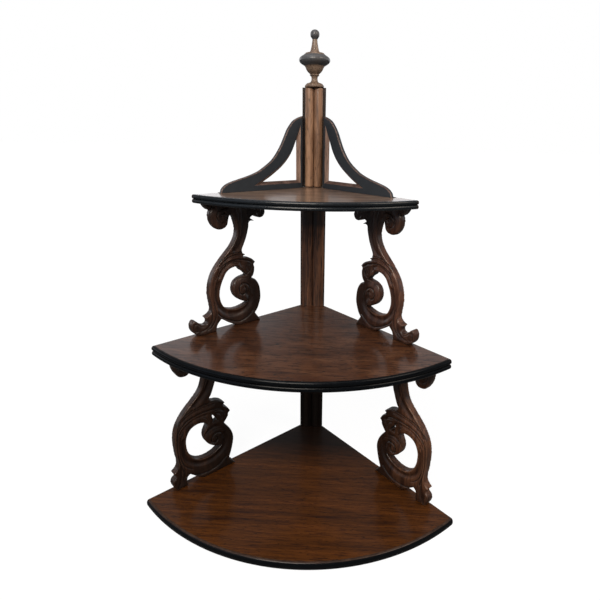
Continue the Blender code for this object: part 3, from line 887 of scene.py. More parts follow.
@dataclass
class GalleryBracket:
    """A pierced bracket on the top shelf: an ebonised face and a brown bevel round its opening.

    Its back is bevelled too, so that from the room the bracket looks like a thin board.
    """

    wall: Wall
    face_finish: Ebonised
    edge_finish: PolishedWood
    shaded_upper_finish: PolishedWood
    thickness: float = 14.5
    setback: float = 1.0
    edge: float = 6.0
    arris: float = 1.6
    eased: float = 0.5
    back_inset: float = 7.5
    # Half width between the brackets' ends, and how far the post's face lies before the corner
    post_side: float = 0.0225
    post_face: float = 0.02485
    # Millimetres along the wall and up
    outline: Outline = (
        (26, 149, 1), (34, 148.5), (51, 144.5), (63, 139.5), (71, 134), (79, 125), (85, 116.5),
        (94, 98.9), (105, 80), (123, 58.6), (148, 41.8), (163, 34.8), (181, 29), (201, 24),
        (218, 19.5), (230, 14.5), (238, 7.5), (241, 0, 1), (26, 0, 1),
    )
    # The opening on the face, at the foot of its bevel, and at the back
    opening: Outline = (
        (51.5, 128, 1), (57, 117), (62.5, 105), (69.5, 90), (74.3, 80), (82, 68.5), (91.5, 58),
        (103, 48), (115.3, 39.5), (128.2, 31.4), (144, 22.5), (167, 10.4, 1), (51.5, 10.4, 1),
    )
    daylight: Outline = (
        (59, 99, 1), (59.6, 97.3), (60.8, 94.5), (64, 87.5), (69.1, 77), (77.3, 64.8), (87.3, 53.7),
        (99.3, 43.3), (112, 34.5), (125.1, 26.2), (139, 18.4), (143, 16.4, 1), (59, 16.4, 1),
    )
    behind: Outline = (
        (48, 128, 1), (56, 117), (62, 105), (69.5, 90), (74.3, 80), (82, 68.5), (91.5, 58),
        (103, 48), (115.3, 39.5), (128.2, 31.4), (144, 22.5), (167, 10.4, 1), (48, 10.4, 1),
    )

    def drawn_in(self, line: np.ndarray, inset: float) -> np.ndarray:
        """The outline drawn in by a bevel, with its foot kept on the shelf.

        Args:
            line: Points of the outline, clockwise.
            inset: How far the bevel draws it in, in millimetres.

        Returns:
            The moved points.
        """
        ahead = np.roll(line, -1, axis=0) - np.roll(line, 1, axis=0)
        ahead /= np.linalg.norm(ahead, axis=1)[:, None]
        moved = line + inset * np.column_stack([ahead[:, 1], -ahead[:, 0]])
        moved[line[:, 1] < SAME_POINT, 1] = 0.0
        return moved

    def make_mesh(self, name: str) -> Piece:
        """Build the board from rings: two sides and a face and back between their ends.

        Args:
            name: The piece's name.

        Returns:
            The bracket, lying flat with its face up.
        """
        outer = corner_line(self.outline)
        face = self.thickness / 2
        sides = (
            ((self.drawn_in(outer, self.arris), face), (outer, face - self.arris),
             (outer, face - self.edge), (self.drawn_in(outer, self.back_inset), -face)),
            ((corner_line(self.opening), face), (corner_line(self.daylight), face - self.edge),
             (corner_line(self.behind), -face)),
        )
        shape = bmesh.new()
        rims = ([], [])
        for rings in sides:
            made = [[shape.verts.new((x * MM, y * MM, level * MM)) for x, y in line]
                    for line, level in rings]
            for near, far in zip(made, made[1:]):
                for i in range(len(near)):
                    shape.faces.new((near[i - 1], near[i], far[i], far[i - 1]))
            for rim, ring in zip(rims, (made[0], made[-1])):
                rim += [shape.edges.get((ring[i - 1], ring[i])) for i in range(len(ring))]
        for rim in rims:
            bmesh.ops.triangle_fill(shape, use_beauty=True, edges=rim)
        bmesh.ops.recalc_face_normals(shape, faces=shape.faces)
        mesh = bpy.data.meshes.new(name)
        shape.to_mesh(mesh)
        shape.free()
        return put_in_scene(name, mesh)

    def slot_of(self, normal: Vector) -> int:
        """Number of the finish that a face takes: 0 on the face, 1 on a bevel, 2 on its upper side,
        whose darker copy is painted shade.

        Args:
            normal: The face's normal.

        Returns:
            The material's number.
        """
        facing = normal.dot(Vector((-self.wall.value * ROOT_HALF, -ROOT_HALF, 0.0)))
        straight_on, edge_on, at_the_post = facing > 0.98, abs(facing) < 0.3, abs(normal.x) > 0.9
        if straight_on or edge_on or at_the_post:
            return 0
        return 2 if normal.z > 0.2 else 1

    def make(self) -> None:
        """Shape the bracket, trim it to the post and stain its face."""
        name = self.wall.name.lower()
        side = self.wall.value
        bracket = self.make_mesh(name + "_gallery_fret")
        middle = (self.setback + self.thickness / 2) * MM
        stand_on_wall(bracket, self.wall, 0.0, middle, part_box(name + "_gallery_bracket")[0].z)
        cut_away(bracket, [((side * self.post_side, 0.0, 0.0), (-side, 0.0, 0.0)),
                           ((0.0, CORNER_Y - self.post_face, 0.0), (0.0, 1.0, 0.0))])
        clean_mesh(bracket)
        apply_modifier(bracket, "BEVEL", width=self.eased * MM, segments=2, limit_method="ANGLE",
                       angle_limit=math.radians(30), material=-1)
        finishes = [self.face_finish.make(), self.edge_finish.make(), self.shaded_upper_finish.make()]
        hand_over(bracket, [name + "_gallery_bracket"], finishes, 50.0, flat=True)
        for face in bracket.data.polygons:
            face.material_index = self.slot_of(face.normal)


# Carved supports

class Cut(Enum):
    """The section of a carved line, with the share of it where dark polish gathers."""

    VEE = 1.0
    COVE = 0.4


@dataclass(frozen=True)
class Groove:
    """A carved line on the face of a board, in millimetres.

    A vee is two rolls that meet in a sharp line, and a cove is a soft hollow.
    """

    course: Course
    half_width: float
    depth: float
    cut: Cut = Cut.VEE
    # How near a vee's two rolls come to upright where they meet
    sharpness: float = 0.999

    def depth_at(self, places: np.ndarray) -> np.ndarray:
        """Depth of the cut at points of the face.

        Args:
            places: Points in millimetres, two columns.

        Returns:
            One depth for each point.
        """
        near = held(1 - distance_to(places, flowing(self.course)) / self.half_width)
        if self.cut is Cut.COVE:
            return self.depth * near**2 * (3 - 2 * near)
        return self.depth * (1 - np.sqrt(1 - self.sharpness * near**2))


@dataclass(frozen=True)
class Slope:
    """A volute's outer turn that falls away from its eye towards one side, in millimetres."""

    centre: tuple[float, float]
    towards: float
    start: float
    reach: float
    depth: float
    # How sharply the fall turns towards its side, how far round it begins, and its soft end
    spread: float = 1.6
    round_from: float = 0.35
    fade: float = 6.0
    # Share of the fall where dark polish gathers
    polish: float = 0.3

    def depth_at(self, places: np.ndarray) -> np.ndarray:
        """Depth of the fall at points of the face.

        Args:
            places: Points in millimetres, two columns.

        Returns:
            One depth for each point.
        """
        offset = places - np.array(self.centre)
        gap = np.linalg.norm(offset, axis=1)
        towards = math.radians(self.towards)
        heading = np.array([math.cos(towards), math.sin(towards)])
        facing = held((offset @ heading) / np.maximum(gap, 1e-6) * self.spread + self.round_from)
        within = held((self.reach + self.fade - gap) / self.fade)
        fall = held((gap - self.start) / (self.reach - self.start))
        return self.depth * fall**2 * facing * within


@dataclass(frozen=True)
class Button:
    """A small raised boss, such as the eye of a scroll, in millimetres."""

    centre: tuple[float, float]
    radius: float
    height: float

    def rise_at(self, places: np.ndarray) -> np.ndarray:
        """Height of the boss at points of the face, in millimetres, two columns."""
        gap = np.linalg.norm(places - np.array(self.centre), axis=1) / self.radius
        return self.height * np.sqrt(held(1 - gap**2))


@dataclass(frozen=True)
class Pattern:
    """The pattern of one pair of supports: its outline in shares and its carving in millimetres."""

    level: str
    start: float
    span: float
    height: float
    outline: Outline
    eyes: Sequence[Outline]
    grooves: Sequence[Groove]
    slopes: Sequence[Slope]
    buttons: Sequence[Button]


@dataclass
class CarvedSupports:
    """A pair of scroll supports: boards sawn to an outline, rounded over and carved on the face."""

    pattern: Pattern
    finishes: dict[Wall, PolishedWood]
    thickness: float = 0.016
    setback: float = 0.001
    round_over: float = 3.6
    round_depth: float = 2.8
    voxel: float = 0.001
    # Millimetres of cut at which dark polish begins to gather, and over which it gets full
    gathers_from: float = 0.4
    gathers_over: float = 2.2
    # Darker towards the corner and towards the foot: its share, where it ends and over how far, in
    # millimetres
    leaf_dark: Point = (0.58, 95.0, 55.0)
    foot_dark: Point = (0.42, 48.0, 26.0)
    # Painted shade under the shelf: its share, over how far it fades, and how many times that it
    # reaches down
    head_painted_shade: Point = (0.43, 50.0, 1.6)

    def relief(self, places: np.ndarray) -> tuple[np.ndarray, np.ndarray]:
        """Depth of the carving below the board's face.

        Args:
            places: Points on the face in millimetres, two columns.

        Returns:
            One depth in millimetres for each point, negative where it stands proud, and the part of
            it where dark polish gathers, without the rounded rim.
        """
        pattern = self.pattern
        size = np.array([pattern.span, pattern.height]) / MM
        rim = np.full(len(places), np.inf)
        for outline in (pattern.outline, *pattern.eyes):
            line = corner_line(outline) * size
            rim = np.minimum(rim, distance_to(places, np.vstack([line, line[:1]])))
        near = held(1 - rim / self.round_over)
        depth = self.round_depth * (1 - np.sqrt(1 - near**2))
        cut = np.zeros(len(places))
        for groove in pattern.grooves:
            sunk = groove.depth_at(places)
            depth = np.maximum(depth, sunk)
            # Polish gathers in a sharp line and is rubbed off the wide hollow
            cut = np.maximum(cut, sunk * groove.cut.value)
        for slope in pattern.slopes:
            sunk = slope.depth_at(places)
            depth += sunk
            cut += slope.polish * sunk
        for button in pattern.buttons:
            depth -= button.rise_at(places)
        return depth, cut

    def darkening_and_shade(self, along: np.ndarray, up: np.ndarray) -> np.ndarray:
        """Share of the darkening towards the corner and the foot, and of painted shade under the
        shelf.

        Args:
            along: Distance along the wall in millimetres, for each point.
            up: Height in the pattern's own metres, for each point.

        Returns:
            One share for each point: the leaf and eye darker towards the corner, painted shade on
                the
            end under the shelf, and a darker foot.
        """
        leaf, foot = (
            share * held((end - away) / over)
            for (share, end, over), away in ((self.leaf_dark, along), (self.foot_dark, up / MM))
        )
        share, over, reach = self.head_painted_shade
        head = share * held((up - self.pattern.height) / MM / over + reach)
        return np.maximum(np.maximum(leaf, head), foot)

    def make_board(self) -> Piece:
        """Saw the board and carve its face.

        Returns:
            The carved board, lying flat with its face up.
        """
        pattern = self.pattern
        lines = [[(x * pattern.span, y * pattern.height, *crisp) for x, y, *crisp in line]
                 for line in (pattern.outline, *pattern.eyes)]
        board = drawn_curve("carved_%s_pattern" % pattern.level, lines, True, 6,
                            thickness=self.thickness)
        apply_modifier(board, "REMESH", mode="VOXEL", voxel_size=self.voxel, adaptivity=0.0)
        co = np.empty(len(board.data.vertices) * 3)
        board.data.vertices.foreach_get("co", co)
        co = co.reshape(-1, 3)
        depth, cut = self.relief(co[:, :2] / MM)
        # The gouge's cut fades out through the board, and its dark polish sooner
        rise = held(co[:, 2] / self.thickness + 0.5)
        co[:, 2] -= depth * MM * rise**1.5
        board.data.vertices.foreach_set("co", co.ravel())
        gathered = held((cut - self.gathers_from) / self.gathers_over) * rise**4
        # Besides the cuts, darker towards the corner and the foot, and painted shade under the
        # shelf
        dark = np.maximum(gathered, self.darkening_and_shade(co[:, 0] / MM, co[:, 1]))
        carving = board.data.attributes.new("carving", "FLOAT", "POINT")
        carving.data.foreach_set("value", dark.astype(np.float32))
        board.data.update()
        return board

    def make(self) -> None:
        """Make the pair, one board for each wall."""
        pattern = self.pattern
        first = self.make_board()
        boards = {Wall.RIGHT: first, Wall.LEFT: put_in_scene(first.name, first.data.copy())}
        for wall, board in boards.items():
            side = wall.name.lower()
            node = "%s_%s_support" % (pattern.level, side)
            board.name = "carved_%s_%s_scroll" % (pattern.level, side)
            stand_on_wall(board, wall, pattern.start, self.setback + self.thickness / 2,
                          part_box(node)[0].z)
            hand_over(board, [node], [self.finishes[wall].make()], 75.0)


def shares(*points: tuple[int, ...]) -> Outline:
    """Points in thousandths of a board's length and height as shares, with their crisp marks."""
    return tuple((x / 1000, y / 1000, *crisp) for x, y, *crisp in points)


UPPER_PATTERN = Pattern(
    level="upper", start=0.144, span=0.1735, height=0.2584,
    outline=shares(
        (17, 1000, 1), (767, 1000, 1), (767, 986, 1), (749, 969), (720, 953), (686, 945, 1),
        (699, 928), (703, 898), (692, 858), (646, 814), (588, 794), (530, 804), (499, 828),
        (487, 858), (473, 889), (447, 903), (421, 889), (403, 855), (388, 820), (380, 785),
        (386, 750), (403, 715), (455, 659), (536, 601), (611, 549), (686, 485), (734, 418),
        (759, 340), (759, 282), (746, 220), (744, 178), (767, 155), (830, 135, 1), (801, 104),
        (818, 81), (859, 79), (911, 104), (939, 122), (965, 129), (991, 112), (1000, 81), (986, 46),
        (951, 19), (905, 0, 1), (695, 0, 1), (692, 27), (674, 58), (628, 91, 1), (588, 72),
        (530, 44), (473, 23), (409, 0, 1), (101, 0, 1), (138, 39), (173, 73, 1), (138, 101),
        (110, 143), (89, 193), (89, 240), (101, 294), (127, 333), (161, 360), (213, 377, 1),
        (190, 391), (170, 422), (164, 460), (173, 487), (150, 503, 1), (196, 534), (254, 551),
        (311, 563), (277, 576, 1), (317, 590, 1), (326, 615, 1), (320, 630), (300, 657), (262, 715),
        (231, 785), (216, 831), (147, 835, 1), (207, 860, 1), (156, 882, 1), (121, 866), (58, 855),
        (17, 870), (0, 901), (17, 932),
    ),
    eyes=(shares(
        (409, 491), (478, 485), (536, 460), (576, 418), (611, 367), (633, 309), (630, 255),
        (608, 209), (571, 176), (501, 155), (421, 149), (340, 157), (282, 170), (242, 186, 1),
        (288, 189), (340, 199), (412, 234), (448, 273), (457, 311), (436, 360), (375, 391),
        (317, 402), (271, 408, 1), (314, 439), (354, 458), (375, 480),
    ),),
    grooves=(
        # The line under the stem where it laps the leaf, and the hollow below it
        Groove(((53, 153), (61, 155), (71, 156), (81, 155), (91, 151), (101, 146), (109, 139),
                (114, 134)), 4.0, 3.2),
        Groove(((50, 148), (60, 150), (71, 151), (82, 149), (92, 145), (101, 139), (107, 133)),
               5.0, 2.4, Cut.COVE),
        # The line under the leaf's roll, and the hollow that runs to the rim of the opening
        Groove(((36, 130), (44, 136), (54, 139), (65, 141), (78, 141), (91, 138), (101, 133),
                (108, 127)), 4.0, 3.4),
        Groove(((58, 128), (62, 134), (72, 137), (84, 136), (95, 131), (104, 123), (110, 113)),
               5.5, 2.6, Cut.COVE),
        # The rim of the opening
        Groove(((104, 124), (110, 114), (115, 103), (118, 92), (119, 80), (118, 68), (114, 56),
                (108, 46)), 4.0, 3.0),
        # The cove round the ring, winding up into the eye
        Groove(((47, 66), (41, 56), (44, 45), (53, 35), (65, 30), (79, 29), (94, 33), (106, 43),
                (114, 55), (117, 70), (115, 86), (111, 99)), 9.0, 3.2, Cut.COVE),
        Groove(((42, 54), (39, 62), (39, 71), (42, 80), (49, 87), (57, 89), (64, 84), (66, 76),
                (63, 68), (57, 65), (51, 69), (49, 76), (52, 81)), 4.2, 3.6),
        # The stem's rolls
        Groove(((54, 250), (51, 232), (50, 215), (51, 199), (55, 182), (62, 169), (72, 160)),
               9.0, 3.2, Cut.COVE),
        Groove(((67, 250), (62, 230), (60, 214), (60, 200), (62, 187), (68, 174), (78, 161),
                (90, 149), (101, 137), (111, 123), (118, 108)), 3.2, 2.2),
        # The volutes under the shelf
        Groove(((84, 247), (92, 246), (101, 243), (107, 236), (107, 227), (101, 220), (93, 219),
                (87, 224), (86, 231), (90, 236), (95, 236), (98, 232)), 3.8, 2.8),
        Groove(((22, 243), (14, 243), (9, 237), (10, 229), (16, 227), (20, 232), (16, 236)), 3.4,
               2.2),
        # The leaf's curled lobes
        Groove(((40, 129), (37, 121), (40, 113), (48, 109)), 3.2, 2.4),
        Groove(((55, 127), (56, 118), (53, 110)), 3.2, 2.8),
        Groove(((45, 130), (47, 122), (44, 115)), 2.8, 1.8),
        # The ring's lap over its foot block
        Groove(((34, 26), (43, 18), (55, 11), (68, 9), (81, 12), (95, 19), (107, 27), (115, 36)),
               4.2, 3.4),
        # The leg and its toe
        Groove(((123, 62), (121, 50), (120, 40), (121, 30), (125, 20), (133, 11), (140, 8)), 4.0,
               3.0),
        Groove(((131, 55), (129, 44), (128, 34), (131, 23), (137, 15), (145, 10), (155, 8)), 3.8,
               2.6),
        Groove(((141, 21), (148, 17), (155, 20), (161, 26), (168, 24), (170, 17), (166, 11),
                (160, 11)), 3.4, 2.4),
    ),
    slopes=(Slope((56, 76), 15.0, 10.0, 25.0, 3.6), Slope((95, 231), -20.0, 12.0, 28.0, 4.5)),
    buttons=(Button((57, 74), 4.0, 0.8), Button((94, 228), 3.6, 1.0), Button((14, 234), 2.6, 0.8)),
)

LOWER_PATTERN = Pattern(
    level="lower", start=0.232, span=0.148, height=0.3064,
    outline=shares(
        (24, 1000, 1), (970, 1000, 1), (970, 988, 1), (949, 973), (916, 960), (872, 953, 1),
        (878, 933), (878, 911), (865, 881), (831, 847), (791, 822), (736, 813), (682, 819),
        (642, 842), (628, 875), (615, 904), (581, 915), (534, 907), (493, 881), (466, 842),
        (456, 805), (459, 770), (476, 734), (507, 690), (564, 649), (649, 609), (757, 560),
        (838, 511), (899, 454), (926, 388), (926, 323), (916, 258), (899, 201), (919, 163),
        (980, 137, 1), (943, 104), (983, 85), (1000, 65), (993, 39), (953, 0, 1), (794, 0, 1),
        (794, 39), (784, 65), (750, 78, 1), (709, 62), (655, 38), (601, 20), (554, 0, 1),
        (34, 0, 1), (81, 29), (135, 59, 1), (91, 114), (57, 176), (47, 225), (71, 274), (122, 320),
        (189, 362, 1), (139, 392), (115, 411), (111, 428), (78, 442, 1), (128, 480), (189, 506),
        (159, 521, 1), (209, 545), (270, 560), (351, 571), (399, 596, 1), (358, 625), (311, 682),
        (280, 725), (260, 777), (250, 826), (253, 855), (176, 861, 1), (247, 881, 1), (189, 899, 1),
        (145, 888), (71, 876), (24, 889), (0, 915), (24, 942),
    ),
    eyes=(
        shares(
            (581, 437), (642, 432), (696, 418), (736, 393), (764, 357), (770, 321), (760, 273),
            (723, 224), (669, 188), (588, 163), (480, 155), (392, 162), (311, 178), (236, 201, 1),
            (304, 204), (385, 224), (459, 259), (498, 302), (500, 336), (476, 369), (439, 401, 1),
            (466, 416), (520, 432),
        ),
        shares(
            (280, 403, 1), (311, 429), (345, 455), (385, 480, 1), (365, 452), (355, 426),
            (361, 403, 1),
        ),
    ),
    grooves=(
        # The line under the stem where it laps the leaf, and the hollow below it
        Groove(((44, 171), (55, 173), (71, 172), (88, 171), (103, 168), (116, 162), (126, 153),
                (132, 144)), 4.0, 3.2),
        Groove(((50, 167), (68, 167), (88, 166), (104, 162), (117, 156), (126, 147)), 4.8, 2.2,
               Cut.COVE),
        # The line under the leaf's roll, and the hollow below it
        Groove(((26, 140), (33, 148), (43, 153), (55, 155), (71, 156), (88, 155), (104, 152),
                (117, 145), (126, 137), (131, 128)), 4.0, 3.2),
        Groove(((68, 148), (88, 149), (104, 145), (117, 137), (124, 128)), 5.0, 1.8, Cut.COVE),
        # The rim of the opening, and the line between the ring and the stem's outer roll
        Groove(((118, 129), (124, 117), (127, 103), (128, 90), (128, 75), (124, 58), (116, 44),
                (105, 34)), 3.8, 2.6),
        Groove(((130, 129), (132, 118), (133, 105), (133, 90), (132, 75), (130, 62), (127, 50),
                (124, 38)), 3.8, 3.0),
        # The cove round the ring, winding up into the eye
        Groove(((31, 84), (27, 73), (28, 62), (34, 51), (45, 43), (58, 38), (72, 37), (88, 40),
                (102, 48), (113, 60), (119, 75), (121, 92), (119, 108)), 9.0, 3.2, Cut.COVE),
        Groove(((34, 64), (31, 74), (32, 84), (37, 92), (45, 95), (53, 93), (58, 87), (58, 79),
                (53, 74), (47, 75), (44, 80), (46, 85)), 4.0, 3.6),
        Groove(((23, 88), (28, 97), (38, 103), (51, 104), (61, 101)), 3.0, 1.2),
        # The stem's rolls
        Groove(((51, 296), (50, 262), (50, 243), (54, 225), (62, 208), (75, 193), (91, 180)),
               10.0, 3.4, Cut.COVE),
        Groove(((64, 296), (62, 262), (61, 243), (64, 226), (71, 210), (83, 194), (98, 179),
                (112, 167), (124, 152), (131, 138)), 3.2, 2.2),
        # The volutes under the shelf
        Groove(((90, 290), (100, 292), (112, 290), (120, 283), (121, 273), (115, 265), (106, 263),
                (99, 268), (98, 276), (103, 281), (109, 279)), 4.0, 2.8),
        Groove(((22, 291), (14, 289), (9, 282), (11, 274), (17, 274), (19, 280), (15, 283)), 3.4,
               2.2),
        # The leaf's curled lobes
        Groove(((26, 133), (29, 141), (37, 147), (46, 149)), 3.2, 2.6),
        Groove(((34, 124), (33, 132), (38, 139), (44, 142)), 3.0, 2.4),
        Groove(((62, 128), (66, 138), (74, 145)), 3.4, 2.2),
        # The ring's lap over its foot block
        Groove(((27, 27), (38, 18), (50, 12), (68, 10), (88, 12), (101, 18), (113, 26)), 4.2, 3.4),
        # The leg and its hoof
        Groove(((121, 42), (122, 30), (125, 21), (131, 12)), 3.6, 2.6),
        Groove(((129, 56), (129, 42), (130, 26), (134, 12), (138, 4)), 3.8, 3.0),
        Groove(((135, 50), (137, 38), (140, 26), (143, 14)), 3.0, 1.8),
    ),
    slopes=(Slope((50, 84), 20.0, 13.0, 27.0, 4.2), Slope((106, 272), -15.0, 12.0, 27.0, 4.5)),
    buttons=(Button((50, 82), 4.0, 0.8), Button((106, 272), 3.6, 1.0), Button((14, 279), 2.6, 0.8)),
)


# Room, light and camera

def show_white(tree: Tree, lit: bpy.types.Node, white: bpy.types.Node, output: str) -> None:
    """Show the camera one shader, and let the light meet another.

    Args:
        tree: The floor's or the world's node tree.
        lit: The shader that lights the object.
        white: The shader that the camera sees.
        output: The output node's type.
    """
    seen = add_node(tree, "LightPath").outputs["Is Camera Ray"]
    chosen = add_node(tree, "MixShader", {0: seen, 1: lit, 2: white})
    add_node(tree, output, {"Surface": chosen})


@dataclass(frozen=True)
class Lamp:
    """A soft square lamp: its place, the point that it faces, its side in metres and its watts."""

    name: str
    place: Point
    aim: Point
    size: float
    power: float
    shade: str

    def hang(self) -> None:
        """Hang the lamp and point it."""
        lamp = bpy.data.lights.new(self.name, "AREA")
        lamp.size = self.size
        lamp.energy = self.power
        lamp.color = colour(self.shade)[:3]
        stand = put_in_scene(self.name, lamp)
        stand.location = self.place
        way = Vector(self.aim) - Vector(self.place)
        stand.rotation_euler = way.to_track_quat("-Z", "Y").to_euler()


@dataclass
class Studio:
    """A plain pale floor, soft light and the camera at the photograph's place."""

    # From the corner on the bottom shelf's top
    camera_place: Point = (0.09499, -1.03252, 0.70563)
    turn: float = -0.0533326
    tip: float = 0.2821189
    roll: float = -0.0203
    focal_px: float = 456.2
    centre_px: tuple[float, float] = (330.5, 270.0)
    frame_px: float = 600.0
    floor_size: float = 60.0
    floor_drop: float = 0.0002
    # The floor's grey as light meets it and under its glow, and the glow near and far
    floor_greys: tuple[float, float] = (0.14, 0.10)
    glow: tuple[float, float] = (0.93, 0.995)
    glow_reach: tuple[float, float] = (0.6, 2.5)
    lamps: Sequence[Lamp] = (
        Lamp("window_lamp", (-0.35, -1.65, 1.75), (0.0, 0.0, 0.45), 1.0, 40.0, "#fff6ea"),
        Lamp("side_lamp", (1.5, -0.8, 1.9), (0.1, 0.0, 0.3), 1.0, 18.0, "#fff2e2"),
        Lamp("ceiling_lamp", (-0.3, -0.3, 2.6), (0.0, 0.0, 0.3), 1.6, 10.0, "#f4f7ff"),
        Lamp("room_lamp", (-1.8, -1.5, 1.1), (0.0, 0.0, 0.45), 1.6, 4.0, "#d4e4ff"),
    )

    def make_camera(self) -> None:
        """Set the camera to the fitted place, aim and field of view."""
        camera = bpy.data.cameras.new("photograph_camera")
        stand = put_in_scene("photograph_camera", camera)
        forward = Vector((math.sin(self.turn), math.cos(self.turn), 0.0))
        right = Vector((math.cos(self.turn), -math.sin(self.turn), 0.0))
        down = Vector((0.0, 0.0, -1.0))
        aim = forward * math.cos(self.tip) + down * math.sin(self.tip)
        lowered = down * math.cos(self.tip) - forward * math.sin(self.tip)
        across = right * math.cos(self.roll) + lowered * math.sin(self.roll)
        below = lowered * math.cos(self.roll) - right * math.sin(self.roll)
        axes = Matrix((across, -below, -aim)).transposed().to_4x4()
        place = Vector(self.camera_place) + Vector((0.0, CORNER_Y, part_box("bottom_shelf")[1].z))
        stand.matrix_world = Matrix.Translation(place) @ axes
        camera.sensor_width = 36.0
        camera.lens = self.focal_px / self.frame_px * camera.sensor_width
        camera.shift_x = (0.5 * self.frame_px - self.centre_px[0]) / self.frame_px
        camera.shift_y = (self.centre_px[1] - 0.5 * self.frame_px) / self.frame_px
        camera.clip_end = 100.0
        bpy.context.scene.camera = stand

    def make_floor(self) -> None:
        """Lay a wide pale floor that keeps the object's shadow."""
        bpy.ops.object.select_all(action="DESELECT")
        bpy.ops.mesh.primitive_plane_add(size=self.floor_size,
                                         location=(0.0, 0.0, -self.floor_drop))
        floor = bpy.context.object
        floor.name = "pale_floor"
        material, tree = new_material("pale_floor_paint")
        tree.nodes.clear()
        plain, paint = (add_node(tree, "BsdfDiffuse", {"Color": colour(grey)})
                        for grey in self.floor_greys)
        place = add_node(tree, "TexCoord").outputs["Object"]
        away = add_node(tree, "VectorMath", {0: place}, operation="LENGTH").outputs["Value"]
        paler = add_node(tree, "MapRange", {
            "Value": away, "From Min": self.glow_reach[0], "From Max": self.glow_reach[1],
            "To Min": self.glow[0], "To Max": self.glow[1],
        })
        glow = add_node(tree, "Emission", {"Color": colour(1.0), "Strength": paler})
        both = add_node(tree, "AddShader", {0: paint, 1: glow})
        show_white(tree, plain, both, "OutputMaterial")
        floor.data.materials.append(material)

    def make_world(self) -> None:
        """Light the room softly by direction, and show it white behind the object."""
        world = bpy.data.worlds.new("pale_room")
        bpy.context.scene.world = world
        world.use_nodes = True
        tree = world.node_tree
        tree.nodes.clear()
        aim = add_node(tree, "TexCoord").outputs["Generated"]
        parts = add_node(tree, "SeparateXYZ", {"Vector": aim})
        # Each part of the room, the axis it is found on, from where to where, and its level there
        levels = {}
        for part, axis, start, end, low, high in (
            ("rear", "Y", -0.3, 0.3, 0.2, 1.0), ("walls", "Z", 0.08, 0.50, 0.45, 0.05),
            ("left", "X", -0.12, -0.32, 0.8, 5.0), ("right", "X", 0.0, 0.08, 0.0, 3.2),
            ("ceiling", "Z", 0.5, 1.0, 0.0, 0.3),
        ):
            levels[part] = add_node(tree, "MapRange", {
                "Value": parts.outputs[axis], "From Min": start, "From Max": end, "To Min": low,
                "To Max": high,
            })
        for part, how, first, second in (
            ("sides", "ADD", "left", "right"), ("behind", "MULTIPLY", "rear", "walls"),
            ("horizon", "MULTIPLY", "behind", "sides"), ("room", "ADD", "horizon", "ceiling"),
        ):
            levels[part] = add_node(tree, "Math", {0: levels[first], 1: levels[second]},
                                    operation=how)
        soft = add_node(tree, "Background", {"Color": "#f2f4f8", "Strength": levels["room"]})
        white = add_node(tree, "Background", {"Color": colour(1.0), "Strength": 1.0})
        show_white(tree, soft, white, "OutputWorld")

    def make(self) -> None:
        """Set up the room, the lamps and the camera."""
        bpy.context.scene.view_settings.view_transform = "Standard"
        self.make_world()
        self.make_floor()
        for lamp in self.lamps:
            lamp.hang()
        self.make_camera()


# The whole

def dress_dowels() -> None:
    """Give the hidden dowels their bare beech."""
    beech = UprightWood("bare_beech", "#9c7a52", "#b8936a", "#c9a77e", roughness=(0.55, 0.65),
                        coat=0.0, specular=0.3).make()
    for name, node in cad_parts.items():
        if "dowel" in name:
            for slot in node.material_slots:
                slot.material = beech
            log.info("%s: bare beech", name)


def make_shelves() -> None:
    """Make the three shelves with their own boards and edges."""
    bottom = Shelf(
        Tier("bottom", 0.430, 0.1195, 1),
        PolishedWood("bottom_mahogany", "#26120a", "#48280e", "#573114", shift=1.0,
                     figure_mm=(150.0, 9.0), streak_mm=(40.0, 1.7), pore_mm=(11.0, 1.4),
                     streak_depth=0.7, coat=0.5, specular=0.08,
                     # Painted shade at the back, where the middle shelf keeps the light off
                     darkened=(PaintedShade("Y", CORNER_Y - 0.18, CORNER_Y - 0.10, 0.92),)),
        Ebonised("bottom_ebonised_edge", worn="#43332a", specular=0.15,
                 worn_from=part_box("bottom_shelf")[1].z - 0.0014),
    )
    middle = Shelf(
        Tier("middle", 0.3915, 0.106, 2),
        PolishedWood("middle_mahogany", "#25150d", "#492b19", "#5b3b27", shift=5.0, patch="#3c2215",
                     figure_mm=(70.0, 22.0), streak_mm=(34.0, 4.2), pore_mm=(9.0, 2.8),
                     pore_depth=0.9, coat=0.85, specular=0.1),
        Ebonised("middle_ebonised_edge", specular=0.1),
    )
    top = Shelf(
        Tier("top", 0.293, 0.0625, 2),
        # Painted sheen: the top board is given paler and greyer than the lower ones, and its edge a
        # lighter, bluer black
        PolishedWood("top_mahogany", "#44322a", "#725a49", "#856e5b", shift=9.0, coat=0.7),
        Ebonised("top_ebonised_edge", black="#13171b", patch="#191e23"),
    )
    for shelf in (bottom, middle, top):
        shelf.make()


